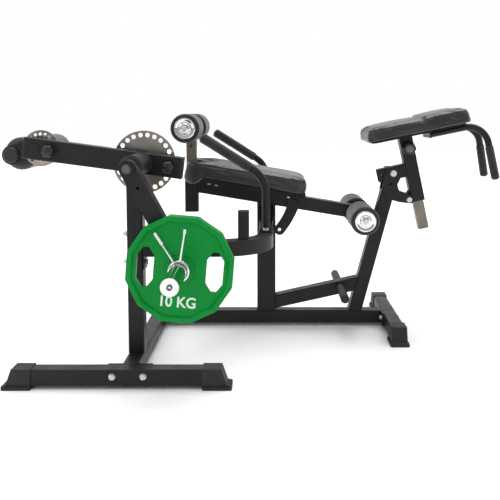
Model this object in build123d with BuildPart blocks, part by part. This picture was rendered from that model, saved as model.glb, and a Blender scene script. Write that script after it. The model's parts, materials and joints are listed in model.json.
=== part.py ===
from build123d import *
import os
from math import cos, radians, sin, tan

# Leg extension machine, in millimetres, +Z up. Places are given from the seat's middle plane (y = 0)
# and the near side, which carries the weight, is -Y. spot() moves them so that the part's own origin
# is at the middle of the floor that the machine covers.
shift_x = 39.5
shift_y = 260.0

# ---- Stock sizes ----
tube = 50.0
tube_wall = 2.5
tube_corner = 5.0
slim_tube = 38.0
slim_gap = 0.3
plate_thick = 5.0
floor_gap = 10.0
beam_top = floor_gap + tube
beam_mid = floor_gap + tube / 2
shaft_r = 12.5
fit_gap = 0.05
axle_r = 12.7
bolt_r = 5.0
bolt_gap = 0.2
washer_thick = 1.6

# ---- Base ----
foot_near_y = -633.0
foot_left_x = -708.0
foot_right_x = -201.0
foot_bolt_z = 40.0
foot_bolt_xs = (-467.0, -375.0)
upright_x = -422.0
upright_y = -465.0
cap_pocket = 44.0
cap_length = 88.0
cap_flat = 57.0
cap_width = 56.0
cap_base_width = 66.0
cap_height = 62.0
right_foot_x = 456.0
right_foot_half = 181.0
right_bolt_ys = (-50.0, 50.0)
beam_flange_width = 140.0

# ---- Posts and rail ----
post_x = -14.0
post_width = 70.0
rail_slope = 9.5
rail_zero_x = -271.0
rail_zero_z = 515.0
rail_end_x = 366.0
thigh_x = -297.5
thigh_sleeve_bottom = 442.0
thigh_sleeve_top = 588.0
thigh_pin_z = 515.0
lean = 14.8
lean_foot_x = 338.8
lean_foot_z = 107.4
lean_length = 430.0
brace_rise = 12.7
brace_start_z = 94.0
foot_rest_x = 269.0
foot_rest_z = 151.0
foot_rest_half = 203.0

# ---- Bent arm, handles and small fittings of the frame ----
arm_z = 392.0
arm_bend_r = 142.0
flange_height = 130.0
flange_bolt_zs = (348.0, 438.0)
far_arm_end = 333.0
stub_x = -84.0
stub_y = -445.0
stub_width = 35.0
stub_top = 505.0
handle_y = 285.0
handle_bolt_y = 316.0
handle_r = 14.0
grip_r = 17.5
handle_bend_r = 100.0
grip_start = (-66.0, 630.0)
grip_rise = 32.3
grip_length = 200.0
grip_inside = 190.0

# ---- Rollers ----
roller_r = 51.0
roller_inner_y = 45.0
roller_outer_y = 212.0
roller_cap_r = 37.0
lower_axle_x = 337.0
lower_axle_z = 435.0
thigh_axle_z = 762.0

# ---- Swinging lever ----
pivot_x = -418.0
pivot_z = 654.0
housing_near = -550.0
housing_far = -394.0
housing_r = 35.0
housing_bore = 29.0
lever_tilt = 7.6
lever_near = -390.0
lever_far = -340.0
lever_height = 70.0
lever_reach = 380.0
lever_tail = 129.0
tip_distance = 345.0
lever_wall = 2.0
disc_near = -331.0
disc_thick = 6.0
disc_r = 104.0
disc_holes_r = 90.0
disc_hole_count = 24
disc_hole_r = 7.8
small_disc_r = 60.0
small_holes_r = 47.5
small_hole_count = 18
small_hole_r = 6.0
weight_arm_near = -607.0
weight_arm_far = -557.0
weight_arm_wall = 3.0
arm_collar = 6.0
horn_x = -262.0
horn_z = 363.0
horn_r = 25.0
horn_end = -846.0
horn_free_y = -674.0
horn_wall = 5.0
plate_r = 161.0
plate_near = -650.0
plate_far = -612.0
plate_turned = 5.0
plate_web = 13.5
plate_recess = 7.0
plate_rim = 15.0
plate_draft = 35.0
plate_hub_r = 44.0
plate_grip_x = 101.5
grip_half_x = 25.0
grip_half_z = 59.0
grip_flat_x = 8.0
grip_flat_z = 35.0
coil_wire_r = 3.4

# ---- Roller arm ----
roller_arm_near = -290.0
roller_arm_far = -250.0
ankle_x = -874.0
ankle_z = 674.0
ankle_roller_r = 58.0
ankle_tube_r = 24.0
ankle_tube_bore = 22.0
ankle_half = 210.0

# ---- Seat ----
seat_left = -326.0
seat_right = 137.0
seat_half = 141.0
seat_corner = 52.0
notch_half = 50.0
notch_depth = 94.0
seat_board_thick = 14.0
seat_pad_thick = 58.0
nose_length = 72.0
nose_drop = 30.0
seat_bolt_places = [(along, side * 80.0) for along in (-227.0, -201.0, 70.0) for side in (-1, 1)]

# ---- Tilting pad ----
pad_lean = 12.4
hinge_x = 466.0
hinge_z = 589.0
bar_left = 56.0
hinge_bolt_r = 6.0
sleeve_foot_x = 564.0
sleeve_foot_z = 484.0
sleeve_length = 232.0
post_below = 109.0
pad_slope = 11.7
pad_corner_x = 356.0
pad_corner_z = 707.2
pad_length = 389.0
pad_half = 135.0
pad_thick = 52.0
pad_board_thick = 8.0
pad_handle_r = 12.5
pad_grip_r = 15.5
pad_pin_height = 204.0

# ---- Pull pins ----
pin_r = 5.0
barrel_r = 11.0
barrel_nose_r = 8.0
barrel_height = 12.0
knob_gap = 0.4
tip_gap = 0.4


# ---- Places and planes ----
def spot(x, y, z):
    """A place given from the seat's middle plane, in the part's own frame."""
    return (x + shift_x, y + shift_y, z)


def slab(far_y):
    """The X-Z plane at far_y, from which an extrusion grows towards the near side."""
    return Plane(origin=spot(0, far_y, 0), x_dir=(1, 0, 0), z_dir=(0, -1, 0))


def level(z):
    """The X-Y plane at height z, from which an extrusion grows upwards."""
    return Plane(origin=spot(0, 0, z), x_dir=(1, 0, 0), z_dir=(0, 0, 1))


def crosswise(x):
    """The Y-Z plane at x, from which an extrusion grows towards +X."""
    return Plane(origin=spot(x, 0, 0), x_dir=(0, 1, 0), z_dir=(1, 0, 0))


def leaning(x, z, angle):
    """A plane across a member that leans over by angle from upright (positive leans to +X)."""
    along = (sin(radians(angle)), 0, cos(radians(angle)))
    return Plane(origin=spot(x, 0, z), x_dir=(0, 1, 0), z_dir=along)


def sloping(x, z, angle):
    """A plane that carries a pad and rises towards +X by angle; its normal points up."""
    across = (cos(radians(angle)), 0, sin(radians(angle)))
    upwards = (-sin(radians(angle)), 0, cos(radians(angle)))
    return Plane(origin=spot(x, 0, z), x_dir=across, z_dir=upwards)


def rail_height(x):
    """The height of the seat rail's underside at x."""
    return rail_zero_z - tan(radians(rail_slope)) * (x - rail_zero_x)


# ---- Shapes used by several pieces ----
def tube_section(width=tube, height=tube, wall=tube_wall):
    """The hollow section of a square or oblong tube, drawn in the open sketch."""
    RectangleRounded(width, height, tube_corner)
    RectangleRounded(width - 2 * wall, height - 2 * wall, tube_corner - wall, mode=Mode.SUBTRACT)


def strip(start, end, radius):
    """A strip with round ends about the line from start to end, drawn in the open sketch."""
    with BuildLine() as rim:
        Line(start, end)
        offset(amount=radius)
    make_face(rim.edges())


def drill(plane, places, radius, depth):
    """Round holes through the part being built, from the plane along its normal."""
    with BuildSketch(plane) as holes:
        with Locations(*places):
            Circle(radius)
    extrude(holes.sketch, amount=depth, mode=Mode.SUBTRACT)


def add_rods(plane, places, radius, length):
    """Round bars that stand on the plane."""
    with BuildSketch(plane) as rods:
        with Locations(*places):
            Circle(radius)
    extrude(rods.sketch, amount=length)


def add_screws(plane, places, radius, length):
    """Hex-headed screws with washers on the plane and shanks behind it."""
    with BuildSketch(plane) as washers:
        with Locations(*places):
            Circle(radius * 2.05)
    extrude(washers.sketch, amount=washer_thick)
    with BuildSketch(plane.offset(washer_thick)) as heads:
        with Locations(*places):
            RegularPolygon(radius * 1.8, 6)
    extrude(heads.sketch, amount=radius * 1.2)
    with BuildSketch(plane) as shanks:
        with Locations(*places):
            Circle(radius)
    extrude(shanks.sketch, amount=-length)


def add_bolts(plane, places, radius, grip):
    """Hex bolts with heads on the plane and a nut where the grip ends."""
    add_screws(plane, places, radius, grip + radius * 2)
    with BuildSketch(plane.offset(-grip)) as nuts:
        with Locations(*places):
            RegularPolygon(radius * 1.8, 6)
    extrude(nuts.sketch, amount=-radius * 1.5)


def add_foot_cap(mouth, outward):
    """A rubber foot cap: mouth is the floor point below its open side, outward leads off the tube."""
    up = Vector(0, 0, 1)
    away = Vector(*outward)
    side = Plane(origin=mouth, x_dir=away, z_dir=away.cross(up))
    with BuildSketch(side) as profile:
        with BuildLine():
            Polyline(
                (0, 0),
                (cap_length, 0),
                (cap_length, floor_gap),
                (cap_length - 14, floor_gap + 4),
                (cap_flat, cap_height),
                (0, cap_height),
                close=True,
            )
        make_face()
    extrude(profile.sketch, amount=cap_width / 2, both=True)
    with BuildSketch(Plane(origin=mouth, x_dir=away, z_dir=up)) as base:
        with Locations((cap_length / 2, 0)):
            RectangleRounded(cap_length, cap_base_width, 6)
    extrude(base.sketch, amount=floor_gap)
    with BuildSketch(side) as pocket:
        with Locations((cap_pocket / 2, beam_mid)):
            Rectangle(cap_pocket, tube)
    extrude(pocket.sketch, amount=tube / 2, both=True, mode=Mode.SUBTRACT)


def add_barrel(plane, wall):
    """The threaded barrel that a pull pin runs in; the plane lies on the wall's outside."""
    with BuildSketch(plane) as body:
        RegularPolygon(barrel_r, 6)
        Circle(pin_r + fit_gap, mode=Mode.SUBTRACT)
    extrude(body.sketch, amount=barrel_height)
    with BuildSketch(plane) as nose:
        Circle(barrel_nose_r)
        Circle(pin_r + fit_gap, mode=Mode.SUBTRACT)
    extrude(nose.sketch, amount=-wall)


def add_pull_pin(plane, reach, knob_r):
    """A pull pin: a rod that reaches behind the plane, with a scalloped knob in front of the barrel."""
    with BuildSketch(plane.offset(-reach)) as rod:
        Circle(pin_r)
    extrude(rod.sketch, amount=reach + barrel_height + knob_gap)
    with BuildSketch(plane.offset(barrel_height + knob_gap)) as knob:
        Circle(knob_r)
        with PolarLocations(knob_r * 1.28, 6):
            Circle(knob_r * 0.4, mode=Mode.SUBTRACT)
    extrude(knob.sketch, amount=20)
    with BuildSketch(plane.offset(barrel_height + knob_gap + 20)) as crown:
        Circle(knob_r * 0.74)
    extrude(crown.sketch, amount=3)


def add_roller(x, z, far_y, length):
    """A foam roller with rounded rims and a bore that runs on its axle."""
    with BuildSketch(slab(far_y)) as disc:
        with Locations((x, z)):
            Circle(roller_r)
    extrude(disc.sketch, amount=length)
    fillet(edges().filter_by(GeomType.CIRCLE), 4)
    drill(slab(far_y), [(x, z)], axle_r + fit_gap, length)


def add_roller_axle(x, z):
    """A roller axle between two chromed end caps, each with a hub and a hex bolt head."""
    axle_end = roller_outer_y + 0.4
    add_rods(slab(axle_end), [(x, z)], axle_r, 2 * axle_end)
    for side in (-1, 1):
        face = Plane(origin=spot(x, side * axle_end, z), x_dir=(1, 0, 0), z_dir=(0, side, 0))
        with BuildSketch(face) as cap:
            Circle(roller_cap_r)
        extrude(cap.sketch, amount=4)
        with BuildSketch(face.offset(4)) as hub:
            Circle(15)
        extrude(hub.sketch, amount=2.5, taper=20)
        with BuildSketch(face.offset(6.5)) as head:
            RegularPolygon(8.5, 6)
        extrude(head.sketch, amount=5)


def seat_outline(inset):
    """The seat's outline with the thigh post's notch, drawn on the rail's slope."""
    with Locations(((seat_left + seat_right) / 2, 0)):
        RectangleRounded(seat_right - seat_left - 2 * inset, 2 * (seat_half - inset), seat_corner - inset)
    with Locations((seat_left + notch_depth / 2 - notch_half, 0)):
        RectangleRounded(
            notch_depth + 2 * notch_half + 2 * inset,
            2 * (notch_half + inset),
            notch_half - 8,
            mode=Mode.SUBTRACT,
        )


os.makedirs("parts", exist_ok=True)

# ---- Base: two feet, the cross tube and the beam ----
with BuildPart() as left_foot:
    with BuildSketch(crosswise(foot_left_x - cap_pocket)):
        with Locations((foot_near_y + tube / 2, beam_mid)):
            tube_section()
    extrude(amount=foot_right_x - foot_left_x + 2 * cap_pocket)
    drill(slab(foot_near_y + tube), [(x, foot_bolt_z) for x in foot_bolt_xs], bolt_r + bolt_gap, tube)
left_foot.part.label = "left_foot"
export_step(left_foot.part, "parts/left_foot.step")

foot_far_y = foot_near_y + tube
with BuildPart() as cross_tube:
    with BuildSketch(slab(tube / 2)):
        with Locations((upright_x, beam_mid)):
            tube_section()
    extrude(amount=tube / 2 - foot_far_y - plate_thick)
    with BuildSketch(slab(foot_far_y + plate_thick)):
        with Locations((upright_x, beam_mid)):
            RectangleRounded(beam_flange_width, tube, 6)
    extrude(amount=plate_thick)
    flange_holes = [(x, foot_bolt_z) for x in foot_bolt_xs]
    drill(slab(foot_far_y + plate_thick), flange_holes, bolt_r + bolt_gap, plate_thick)
cross_tube.part.label = "cross_tube"
export_step(cross_tube.part, "parts/cross_tube.step")

beam_left_x = upright_x + tube / 2
beam_right_x = right_foot_x - tube / 2 - plate_thick
with BuildPart() as base_beam:
    with BuildSketch(crosswise(beam_left_x)):
        with Locations((0, beam_mid)):
            tube_section()
    extrude(amount=beam_right_x - beam_left_x)
    with BuildSketch(crosswise(beam_right_x)):
        with Locations((0, beam_mid)):
            RectangleRounded(beam_flange_width, tube, 6)
    extrude(amount=plate_thick)
    beam_holes = [(y, foot_bolt_z) for y in right_bolt_ys]
    drill(crosswise(beam_right_x), beam_holes, bolt_r + bolt_gap, plate_thick)
base_beam.part.label = "base_beam"
export_step(base_beam.part, "parts/base_beam.step")

right_foot_end = right_foot_half + cap_pocket
with BuildPart() as right_foot:
    with BuildSketch(slab(right_foot_end)):
        with Locations((right_foot_x, beam_mid)):
            tube_section()
    extrude(amount=2 * right_foot_end)
    right_foot_left_x = right_foot_x - tube / 2
    drill(crosswise(right_foot_left_x), beam_holes, bolt_r + bolt_gap, tube)
right_foot.part.label = "right_foot"
export_step(right_foot.part, "parts/right_foot.step")

left_foot_mid_y = foot_near_y + tube / 2
with BuildPart() as foot_caps:
    add_foot_cap(spot(foot_left_x, left_foot_mid_y, 0), (-1, 0, 0))
    add_foot_cap(spot(foot_right_x, left_foot_mid_y, 0), (1, 0, 0))
    add_foot_cap(spot(right_foot_x, -right_foot_half, 0), (0, -1, 0))
    add_foot_cap(spot(right_foot_x, right_foot_half, 0), (0, 1, 0))
foot_caps.part.label = "foot_caps"
export_step(foot_caps.part, "parts/foot_caps.step")

# ---- Left upright and the pivot's bearing housing ----
with BuildPart() as left_upright:
    with BuildSketch(level(beam_top)):
        with Locations((upright_x, upright_y)):
            tube_section()
    extrude(amount=pivot_z - beam_top)
    drill(slab(housing_far), [(pivot_x, pivot_z)], housing_r, housing_far - housing_near)
    upright_holes = [(upright_y, z) for z in flange_bolt_zs]
    drill(crosswise(upright_x - tube / 2), upright_holes, bolt_r + bolt_gap, tube)
left_upright.part.label = "left_upright"
export_step(left_upright.part, "parts/left_upright.step")

with BuildPart() as pivot_housing:
    with BuildSketch(slab(housing_far)):
        with Locations((pivot_x, pivot_z)):
            Circle(housing_r)
            Circle(housing_bore, mode=Mode.SUBTRACT)
    extrude(amount=housing_far - housing_near)
pivot_housing.part.label = "pivot_housing"
export_step(pivot_housing.part, "parts/pivot_housing.step")

bush_length = 30.0
bush_flange = 3.0
with BuildPart() as housing_bushes:
    for far_y in (housing_far, housing_near + bush_length):
        add_rods(slab(far_y), [(pivot_x, pivot_z)], housing_bore, bush_length)
    for far_y in (housing_far + bush_flange, housing_near):
        add_rods(slab(far_y), [(pivot_x, pivot_z)], housing_r + 1.5, bush_flange)
    drill(
        slab(housing_far + bush_flange),
        [(pivot_x, pivot_z)],
        shaft_r + fit_gap,
        housing_far - housing_near + 2 * bush_flange,
    )
housing_bushes.part.label = "housing_bushes"
export_step(housing_bushes.part, "parts/housing_bushes.step")

# ---- Centre post and seat rail ----
rail_mid_z = rail_height(rail_zero_x) + tube / 2 / cos(radians(rail_slope))
rail_underside = sloping(rail_zero_x, rail_zero_z, -rail_slope)
with BuildPart() as centre_post:
    with BuildSketch(level(beam_top)):
        with Locations((post_x, 0)):
            tube_section(post_width, tube)
    extrude(amount=tube + rail_zero_z)
    split(bisect_by=rail_underside, keep=Keep.BOTTOM)
centre_post.part.label = "centre_post"
export_step(centre_post.part, "parts/centre_post.step")

thigh_sleeve_right = thigh_x + tube / 2
rail_top = sloping(0, rail_height(0) + tube / cos(radians(rail_slope)), -rail_slope)
with BuildPart() as seat_rail:
    rail_back_z = rail_mid_z + tube * tan(radians(rail_slope))
    with BuildSketch(leaning(rail_zero_x - tube, rail_back_z, 90 + rail_slope)):
        tube_section()
    extrude(amount=(rail_end_x - rail_zero_x + tube) / cos(radians(rail_slope)))
    split(bisect_by=crosswise(thigh_sleeve_right), keep=Keep.TOP)
    with BuildSketch(rail_top) as seat_plates:
        with Locations((-214, 0)):
            RectangleRounded(62, 200, 8)
        with Locations((70, 0)):
            RectangleRounded(50, 200, 8)
    extrude(seat_plates.sketch, amount=plate_thick)
    drill(rail_top, seat_bolt_places, bolt_r, plate_thick)
    drill(slab(tube), [(lower_axle_x, lower_axle_z)], axle_r + fit_gap, 2 * tube)
seat_rail.part.label = "seat_rail"
export_step(seat_rail.part, "parts/seat_rail.step")

with BuildPart() as thigh_sleeve:
    with BuildSketch(level(thigh_sleeve_bottom)):
        with Locations((thigh_x, 0)):
            RectangleRounded(tube, tube, tube_corner)
            Rectangle(slim_tube + 2 * slim_gap, slim_tube + 2 * slim_gap, mode=Mode.SUBTRACT)
    extrude(amount=thigh_sleeve_top - thigh_sleeve_bottom)
    thigh_pin_face = Plane(origin=spot(thigh_x, tube / 2, thigh_pin_z), x_dir=(-1, 0, 0), z_dir=(0, 1, 0))
    with BuildSketch(thigh_pin_face) as barrel:
        RegularPolygon(barrel_r, 6)
    extrude(barrel.sketch, amount=barrel_height)
    drill(thigh_pin_face.offset(-tube / 2), [(0, 0)], pin_r + fit_gap, tube)
thigh_sleeve.part.label = "thigh_sleeve"
export_step(thigh_sleeve.part, "parts/thigh_sleeve.step")

# ---- Leaning upright, brace and foot rest ----
lean_axis = leaning(lean_foot_x, lean_foot_z, lean)
lean_face_x = lean_foot_x - tube / 2 * cos(radians(lean))
lean_face_z = lean_foot_z + tube / 2 * sin(radians(lean))
with BuildPart() as leaning_upright:
    with BuildSketch(lean_axis.offset(-2 * tube)):
        tube_section()
    extrude(amount=lean_length + 2 * tube)
    split(bisect_by=level(beam_top), keep=Keep.TOP)
leaning_upright.part.label = "leaning_upright"
export_step(leaning_upright.part, "parts/leaning_upright.step")

post_right_x = post_x + post_width / 2
with BuildPart() as brace:
    brace_back_z = brace_start_z - tube * tan(radians(brace_rise))
    with BuildSketch(leaning(post_right_x - tube, brace_back_z, 90 - brace_rise)):
        tube_section()
    extrude(amount=lean_foot_x - post_right_x + 2 * tube)
    split(bisect_by=crosswise(post_right_x), keep=Keep.TOP)
    split(bisect_by=leaning(lean_face_x, lean_face_z, lean - 90), keep=Keep.TOP)
    drill(slab(tube), [(foot_rest_x, foot_rest_z)], shaft_r + fit_gap, 2 * tube)
brace.part.label = "brace"
export_step(brace.part, "parts/brace.step")

foot_rest_end = foot_rest_half - 7
with BuildPart() as foot_rest_bar:
    add_rods(slab(foot_rest_end), [(foot_rest_x, foot_rest_z)], shaft_r, 2 * foot_rest_end)
foot_rest_bar.part.label = "foot_rest_bar"
export_step(foot_rest_bar.part, "parts/foot_rest_bar.step")

rubber_r = 15.5
with BuildPart() as foot_rest_sleeves:
    for side in (-1, 1):
        root = spot(foot_rest_x, side * (tube / 2 + 1), foot_rest_z)
        with BuildSketch(Plane(origin=root, x_dir=(1, 0, 0), z_dir=(0, side, 0))) as rubber:
            Circle(rubber_r)
        extrude(rubber.sketch, amount=foot_rest_half - tube / 2 - 1)
    fillet(edges().filter_by(GeomType.CIRCLE).group_by(Axis.Y)[0], 9)
    fillet(edges().filter_by(GeomType.CIRCLE).group_by(Axis.Y)[-1], 9)
    drill(slab(foot_rest_end), [(foot_rest_x, foot_rest_z)], shaft_r, 2 * foot_rest_end)
foot_rest_sleeves.part.label = "foot_rest_sleeves"
export_step(foot_rest_sleeves.part, "parts/foot_rest_sleeves.step")

# ---- Bent arm with its gussets and stub, far arm and handles ----
upright_right_x = upright_x + tube / 2
arm_start_x = upright_right_x + plate_thick
arm_top = arm_z + tube / 2
with BuildPart() as bent_arm:
    with BuildLine(level(arm_z)):
        FilletPolyline(
            (arm_start_x, upright_y), (post_x, upright_y), (post_x, -tube / 2), radius=arm_bend_r
        )
    with BuildSketch(crosswise(arm_start_x)):
        with Locations((upright_y, arm_z)):
            tube_section()
    sweep()
    with BuildSketch(crosswise(upright_right_x)):
        with Locations((upright_y, arm_z)):
            RectangleRounded(tube, flange_height, 6)
    extrude(amount=plate_thick)
    for gusset_x in (post_x - 25, post_x + 20):
        with BuildSketch(crosswise(gusset_x)):
            with BuildLine():
                Polyline(
                    (-tube / 2, arm_top - tube_corner),
                    (-tube / 2, arm_top + 50),
                    (-tube / 2 - 50, arm_top - tube_corner),
                    close=True,
                )
            make_face()
        extrude(amount=plate_thick)
    with BuildSketch(level(arm_top)) as stub:
        with Locations((stub_x, stub_y)):
            tube_section(stub_width, stub_width)
    extrude(stub.sketch, amount=stub_top - arm_top)
    drill(crosswise(upright_right_x), upright_holes, bolt_r + bolt_gap, plate_thick)
    drill(level(arm_z - tube), [(post_x, -handle_bolt_y)], bolt_r + bolt_gap, 2 * tube)
bent_arm.part.label = "bent_arm"
export_step(bent_arm.part, "parts/bent_arm.step")

with BuildPart() as far_arm:
    with BuildSketch(slab(far_arm_end)):
        with Locations((post_x, arm_z)):
            tube_section()
    extrude(amount=far_arm_end - tube / 2)
    drill(level(arm_z - tube), [(post_x, handle_bolt_y)], bolt_r + bolt_gap, 2 * tube)
far_arm.part.label = "far_arm"
export_step(far_arm.part, "parts/far_arm.step")

grip_run = (-cos(radians(grip_rise)), sin(radians(grip_rise)))
handle_end = (grip_start[0] + grip_inside * grip_run[0], grip_start[1] + grip_inside * grip_run[1])
handle_corner_z = grip_start[1] - tan(radians(grip_rise)) * (post_x - grip_start[0])
handle_foot_z = arm_top + plate_thick
with BuildPart() as seat_handles:
    for y in (-handle_y, handle_y):
        with BuildLine(slab(y)) as bend:
            FilletPolyline(
                (post_x, handle_foot_z), (post_x, handle_corner_z), handle_end, radius=handle_bend_r
            )
        with BuildSketch(level(handle_foot_z)) as ring:
            with Locations((post_x, y)):
                Circle(handle_r)
                Circle(handle_r - tube_wall, mode=Mode.SUBTRACT)
        sweep(ring.sketch, path=bend.line)
        outward = 1 if y > 0 else -1
        with BuildSketch(level(arm_top)) as foot_plate:
            with Locations((post_x, y + outward * 12)):
                RectangleRounded(46, 70, 6)
        extrude(foot_plate.sketch, amount=plate_thick)
        drill(level(arm_top), [(post_x, outward * handle_bolt_y)], bolt_r + bolt_gap, plate_thick)
seat_handles.part.label = "seat_handles"
export_step(seat_handles.part, "parts/seat_handles.step")

with BuildPart() as handle_grips:
    for y in (-handle_y, handle_y):
        start = spot(grip_start[0], y, grip_start[1])
        mouth = Plane(origin=start, x_dir=(0, 1, 0), z_dir=(grip_run[0], 0, grip_run[1]))
        with BuildSketch(mouth) as foam:
            Circle(grip_r)
        extrude(foam.sketch, amount=grip_length)
        drill(mouth, [(0, 0)], handle_r, grip_inside)
    fillet(edges().filter_by(GeomType.CIRCLE).sort_by(Axis.X)[:2], 12)
handle_grips.part.label = "handle_grips"
export_step(handle_grips.part, "parts/handle_grips.step")

with BuildPart() as hanger_bar:
    with BuildSketch(slab(-tube / 2)):
        with BuildLine():
            Line((113, 475), (72, 502))
            ThreePointArc((72, 502), (53, 438), (18, 385))
            ThreePointArc((18, 385), (27, 357), (55, 366))
            ThreePointArc((55, 366), (90, 420), (113, 475))
        make_face()
        with Locations((36, 375)):
            Circle(6, mode=Mode.SUBTRACT)
    extrude(amount=8)
hanger_bar.part.label = "hanger_bar"
export_step(hanger_bar.part, "parts/hanger_bar.step")

# ---- Hinge plates ----
hinge_gap = 0.3
hinge_plate_thick = 6.0
plate_turn = 256.4
lock_hole = (hinge_x + 41 * cos(radians(plate_turn)), hinge_z + 41 * sin(radians(plate_turn)))
stop_bolt = (527.0, 489.0)
with BuildPart() as hinge_plates:
    for far_y in (tube / 2 + hinge_gap + hinge_plate_thick, -tube / 2 - hinge_gap):
        with BuildSketch(slab(far_y)) as outline:
            with BuildLine():
                FilletPolyline(
                    (440, 613),
                    (492, 613),
                    (494, 574),
                    (481, 545),
                    (489, 521),
                    (543, 502),
                    (541, 474),
                    (492, 479),
                    (449, 491),
                    (422, 521),
                    radius=9,
                    close=True,
                )
            make_face()
            with Locations((hinge_x, hinge_z)):
                Circle(hinge_bolt_r + bolt_gap, mode=Mode.SUBTRACT)
            with Locations(lock_hole, stop_bolt):
                Circle(bolt_r + bolt_gap, mode=Mode.SUBTRACT)
        extrude(outline.sketch, amount=hinge_plate_thick)
hinge_plates.part.label = "hinge_plates"
export_step(hinge_plates.part, "parts/hinge_plates.step")

# ---- Lower rollers ----
with BuildPart() as lower_axle:
    add_roller_axle(lower_axle_x, lower_axle_z)
lower_axle.part.label = "lower_axle"
export_step(lower_axle.part, "parts/lower_axle.step")

roller_length = roller_outer_y - roller_inner_y
with BuildPart() as lower_roller_near:
    add_roller(lower_axle_x, lower_axle_z, -roller_inner_y, roller_length)
lower_roller_near.part.label = "lower_roller_near"
export_step(lower_roller_near.part, "parts/lower_roller_near.step")

with BuildPart() as lower_roller_far:
    add_roller(lower_axle_x, lower_axle_z, roller_outer_y, roller_length)
lower_roller_far.part.label = "lower_roller_far"
export_step(lower_roller_far.part, "parts/lower_roller_far.step")

# ---- Thigh post and rollers ----
with BuildPart() as thigh_post:
    with BuildSketch(level(thigh_sleeve_bottom + 8)):
        with Locations((thigh_x, 0)):
            RectangleRounded(slim_tube, slim_tube, 3)
            RectangleRounded(slim_tube - 5, slim_tube - 5, 1.5, mode=Mode.SUBTRACT)
    extrude(amount=thigh_axle_z + 24 - thigh_sleeve_bottom - 8)
    post_holes = [(thigh_x, thigh_pin_z + 22 * step) for step in (-2, -1, 0, 2, 4, 6)]
    drill(slab(tube / 2), post_holes, pin_r + 0.5, tube / 2)
    drill(slab(0), [(thigh_x, thigh_pin_z + 22 * 8)], pin_r - 0.5, tube / 2)
    drill(slab(tube / 2), [(thigh_x, thigh_axle_z)], axle_r + fit_gap, tube)
thigh_post.part.label = "thigh_post"
export_step(thigh_post.part, "parts/thigh_post.step")

with BuildPart() as thigh_axle:
    add_roller_axle(thigh_x, thigh_axle_z)
thigh_axle.part.label = "thigh_axle"
export_step(thigh_axle.part, "parts/thigh_axle.step")

with BuildPart() as thigh_roller_near:
    add_roller(thigh_x, thigh_axle_z, -roller_inner_y, roller_length)
thigh_roller_near.part.label = "thigh_roller_near"
export_step(thigh_roller_near.part, "parts/thigh_roller_near.step")

with BuildPart() as thigh_roller_far:
    add_roller(thigh_x, thigh_axle_z, roller_outer_y, roller_length)
thigh_roller_far.part.label = "thigh_roller_far"
export_step(thigh_roller_far.part, "parts/thigh_roller_far.step")

sleeve_wall = (tube - slim_tube) / 2
with BuildPart() as thigh_pin:
    add_pull_pin(thigh_pin_face, sleeve_wall - tip_gap, 19)
thigh_pin.part.label = "thigh_pin"
export_step(thigh_pin.part, "parts/thigh_pin.step")

# ---- Swinging part: shaft, selector disc, weight arm and horn ----
with BuildPart() as pivot_shaft:
    shaft_length = disc_near + disc_thick - weight_arm_near + arm_collar
    add_rods(slab(disc_near + disc_thick), [(pivot_x, pivot_z)], shaft_r, shaft_length)
    add_rods(slab(housing_near - bush_flange - 0.4), [(pivot_x, pivot_z)], 20, 3.5)
    add_rods(slab(disc_near), [(pivot_x, pivot_z)], 20, disc_near - lever_far - 0.8)
pivot_shaft.part.label = "pivot_shaft"
export_step(pivot_shaft.part, "parts/pivot_shaft.step")

with BuildPart() as selector_disc:
    with BuildSketch(slab(disc_near + disc_thick)):
        with Locations((pivot_x, pivot_z)):
            Circle(disc_r)
            Circle(shaft_r + fit_gap, mode=Mode.SUBTRACT)
            with PolarLocations(disc_holes_r, disc_hole_count, start_angle=-lever_tilt):
                Circle(disc_hole_r, mode=Mode.SUBTRACT)
    extrude(amount=disc_thick)
selector_disc.part.label = "selector_disc"
export_step(selector_disc.part, "parts/selector_disc.step")

arm_run = Vector(horn_x - pivot_x, horn_z - pivot_z)
with BuildPart() as weight_arm:
    with BuildSketch(slab(weight_arm_far)):
        strip((pivot_x, pivot_z), (horn_x, horn_z), tube / 2)
    extrude(amount=tube)
    collar_reach = tube - weight_arm_wall + arm_collar
    add_rods(slab(weight_arm_far - weight_arm_wall), [(pivot_x, pivot_z)], 22.5, collar_reach)
    with BuildSketch(slab(weight_arm_far - weight_arm_wall)):
        strip((pivot_x, pivot_z), (horn_x, horn_z), tube / 2 - weight_arm_wall)
    extrude(amount=tube - 2 * weight_arm_wall, mode=Mode.SUBTRACT)
    drill(slab(weight_arm_far), [(pivot_x, pivot_z)], shaft_r + fit_gap, tube + arm_collar)
    small_hole = (pivot_x + 65 * arm_run.X / arm_run.length, pivot_z + 65 * arm_run.Y / arm_run.length)
    drill(slab(weight_arm_near + weight_arm_wall), [small_hole], 4.5, weight_arm_wall)
weight_arm.part.label = "weight_arm"
export_step(weight_arm.part, "parts/weight_arm.step")

with BuildPart() as weight_horn:
    with BuildSketch(slab(weight_arm_near)):
        with Locations((horn_x, horn_z)):
            Circle(horn_r - 0.5)
            Circle(horn_r - horn_wall, mode=Mode.SUBTRACT)
    extrude(amount=weight_arm_near - horn_free_y)
    with BuildSketch(slab(horn_free_y)):
        with Locations((horn_x, horn_z)):
            Circle(horn_r)
            Circle(horn_r - horn_wall, mode=Mode.SUBTRACT)
    extrude(amount=horn_free_y - horn_end - horn_wall)
    with BuildSketch(slab(horn_end + horn_wall)):
        with Locations((horn_x, horn_z)):
            Circle(horn_r)
    extrude(amount=horn_wall)
    chamfer(edges().filter_by(GeomType.CIRCLE).sort_by(Axis.Y)[0], 1)
weight_horn.part.label = "weight_horn"
export_step(weight_horn.part, "parts/weight_horn.step")

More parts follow.
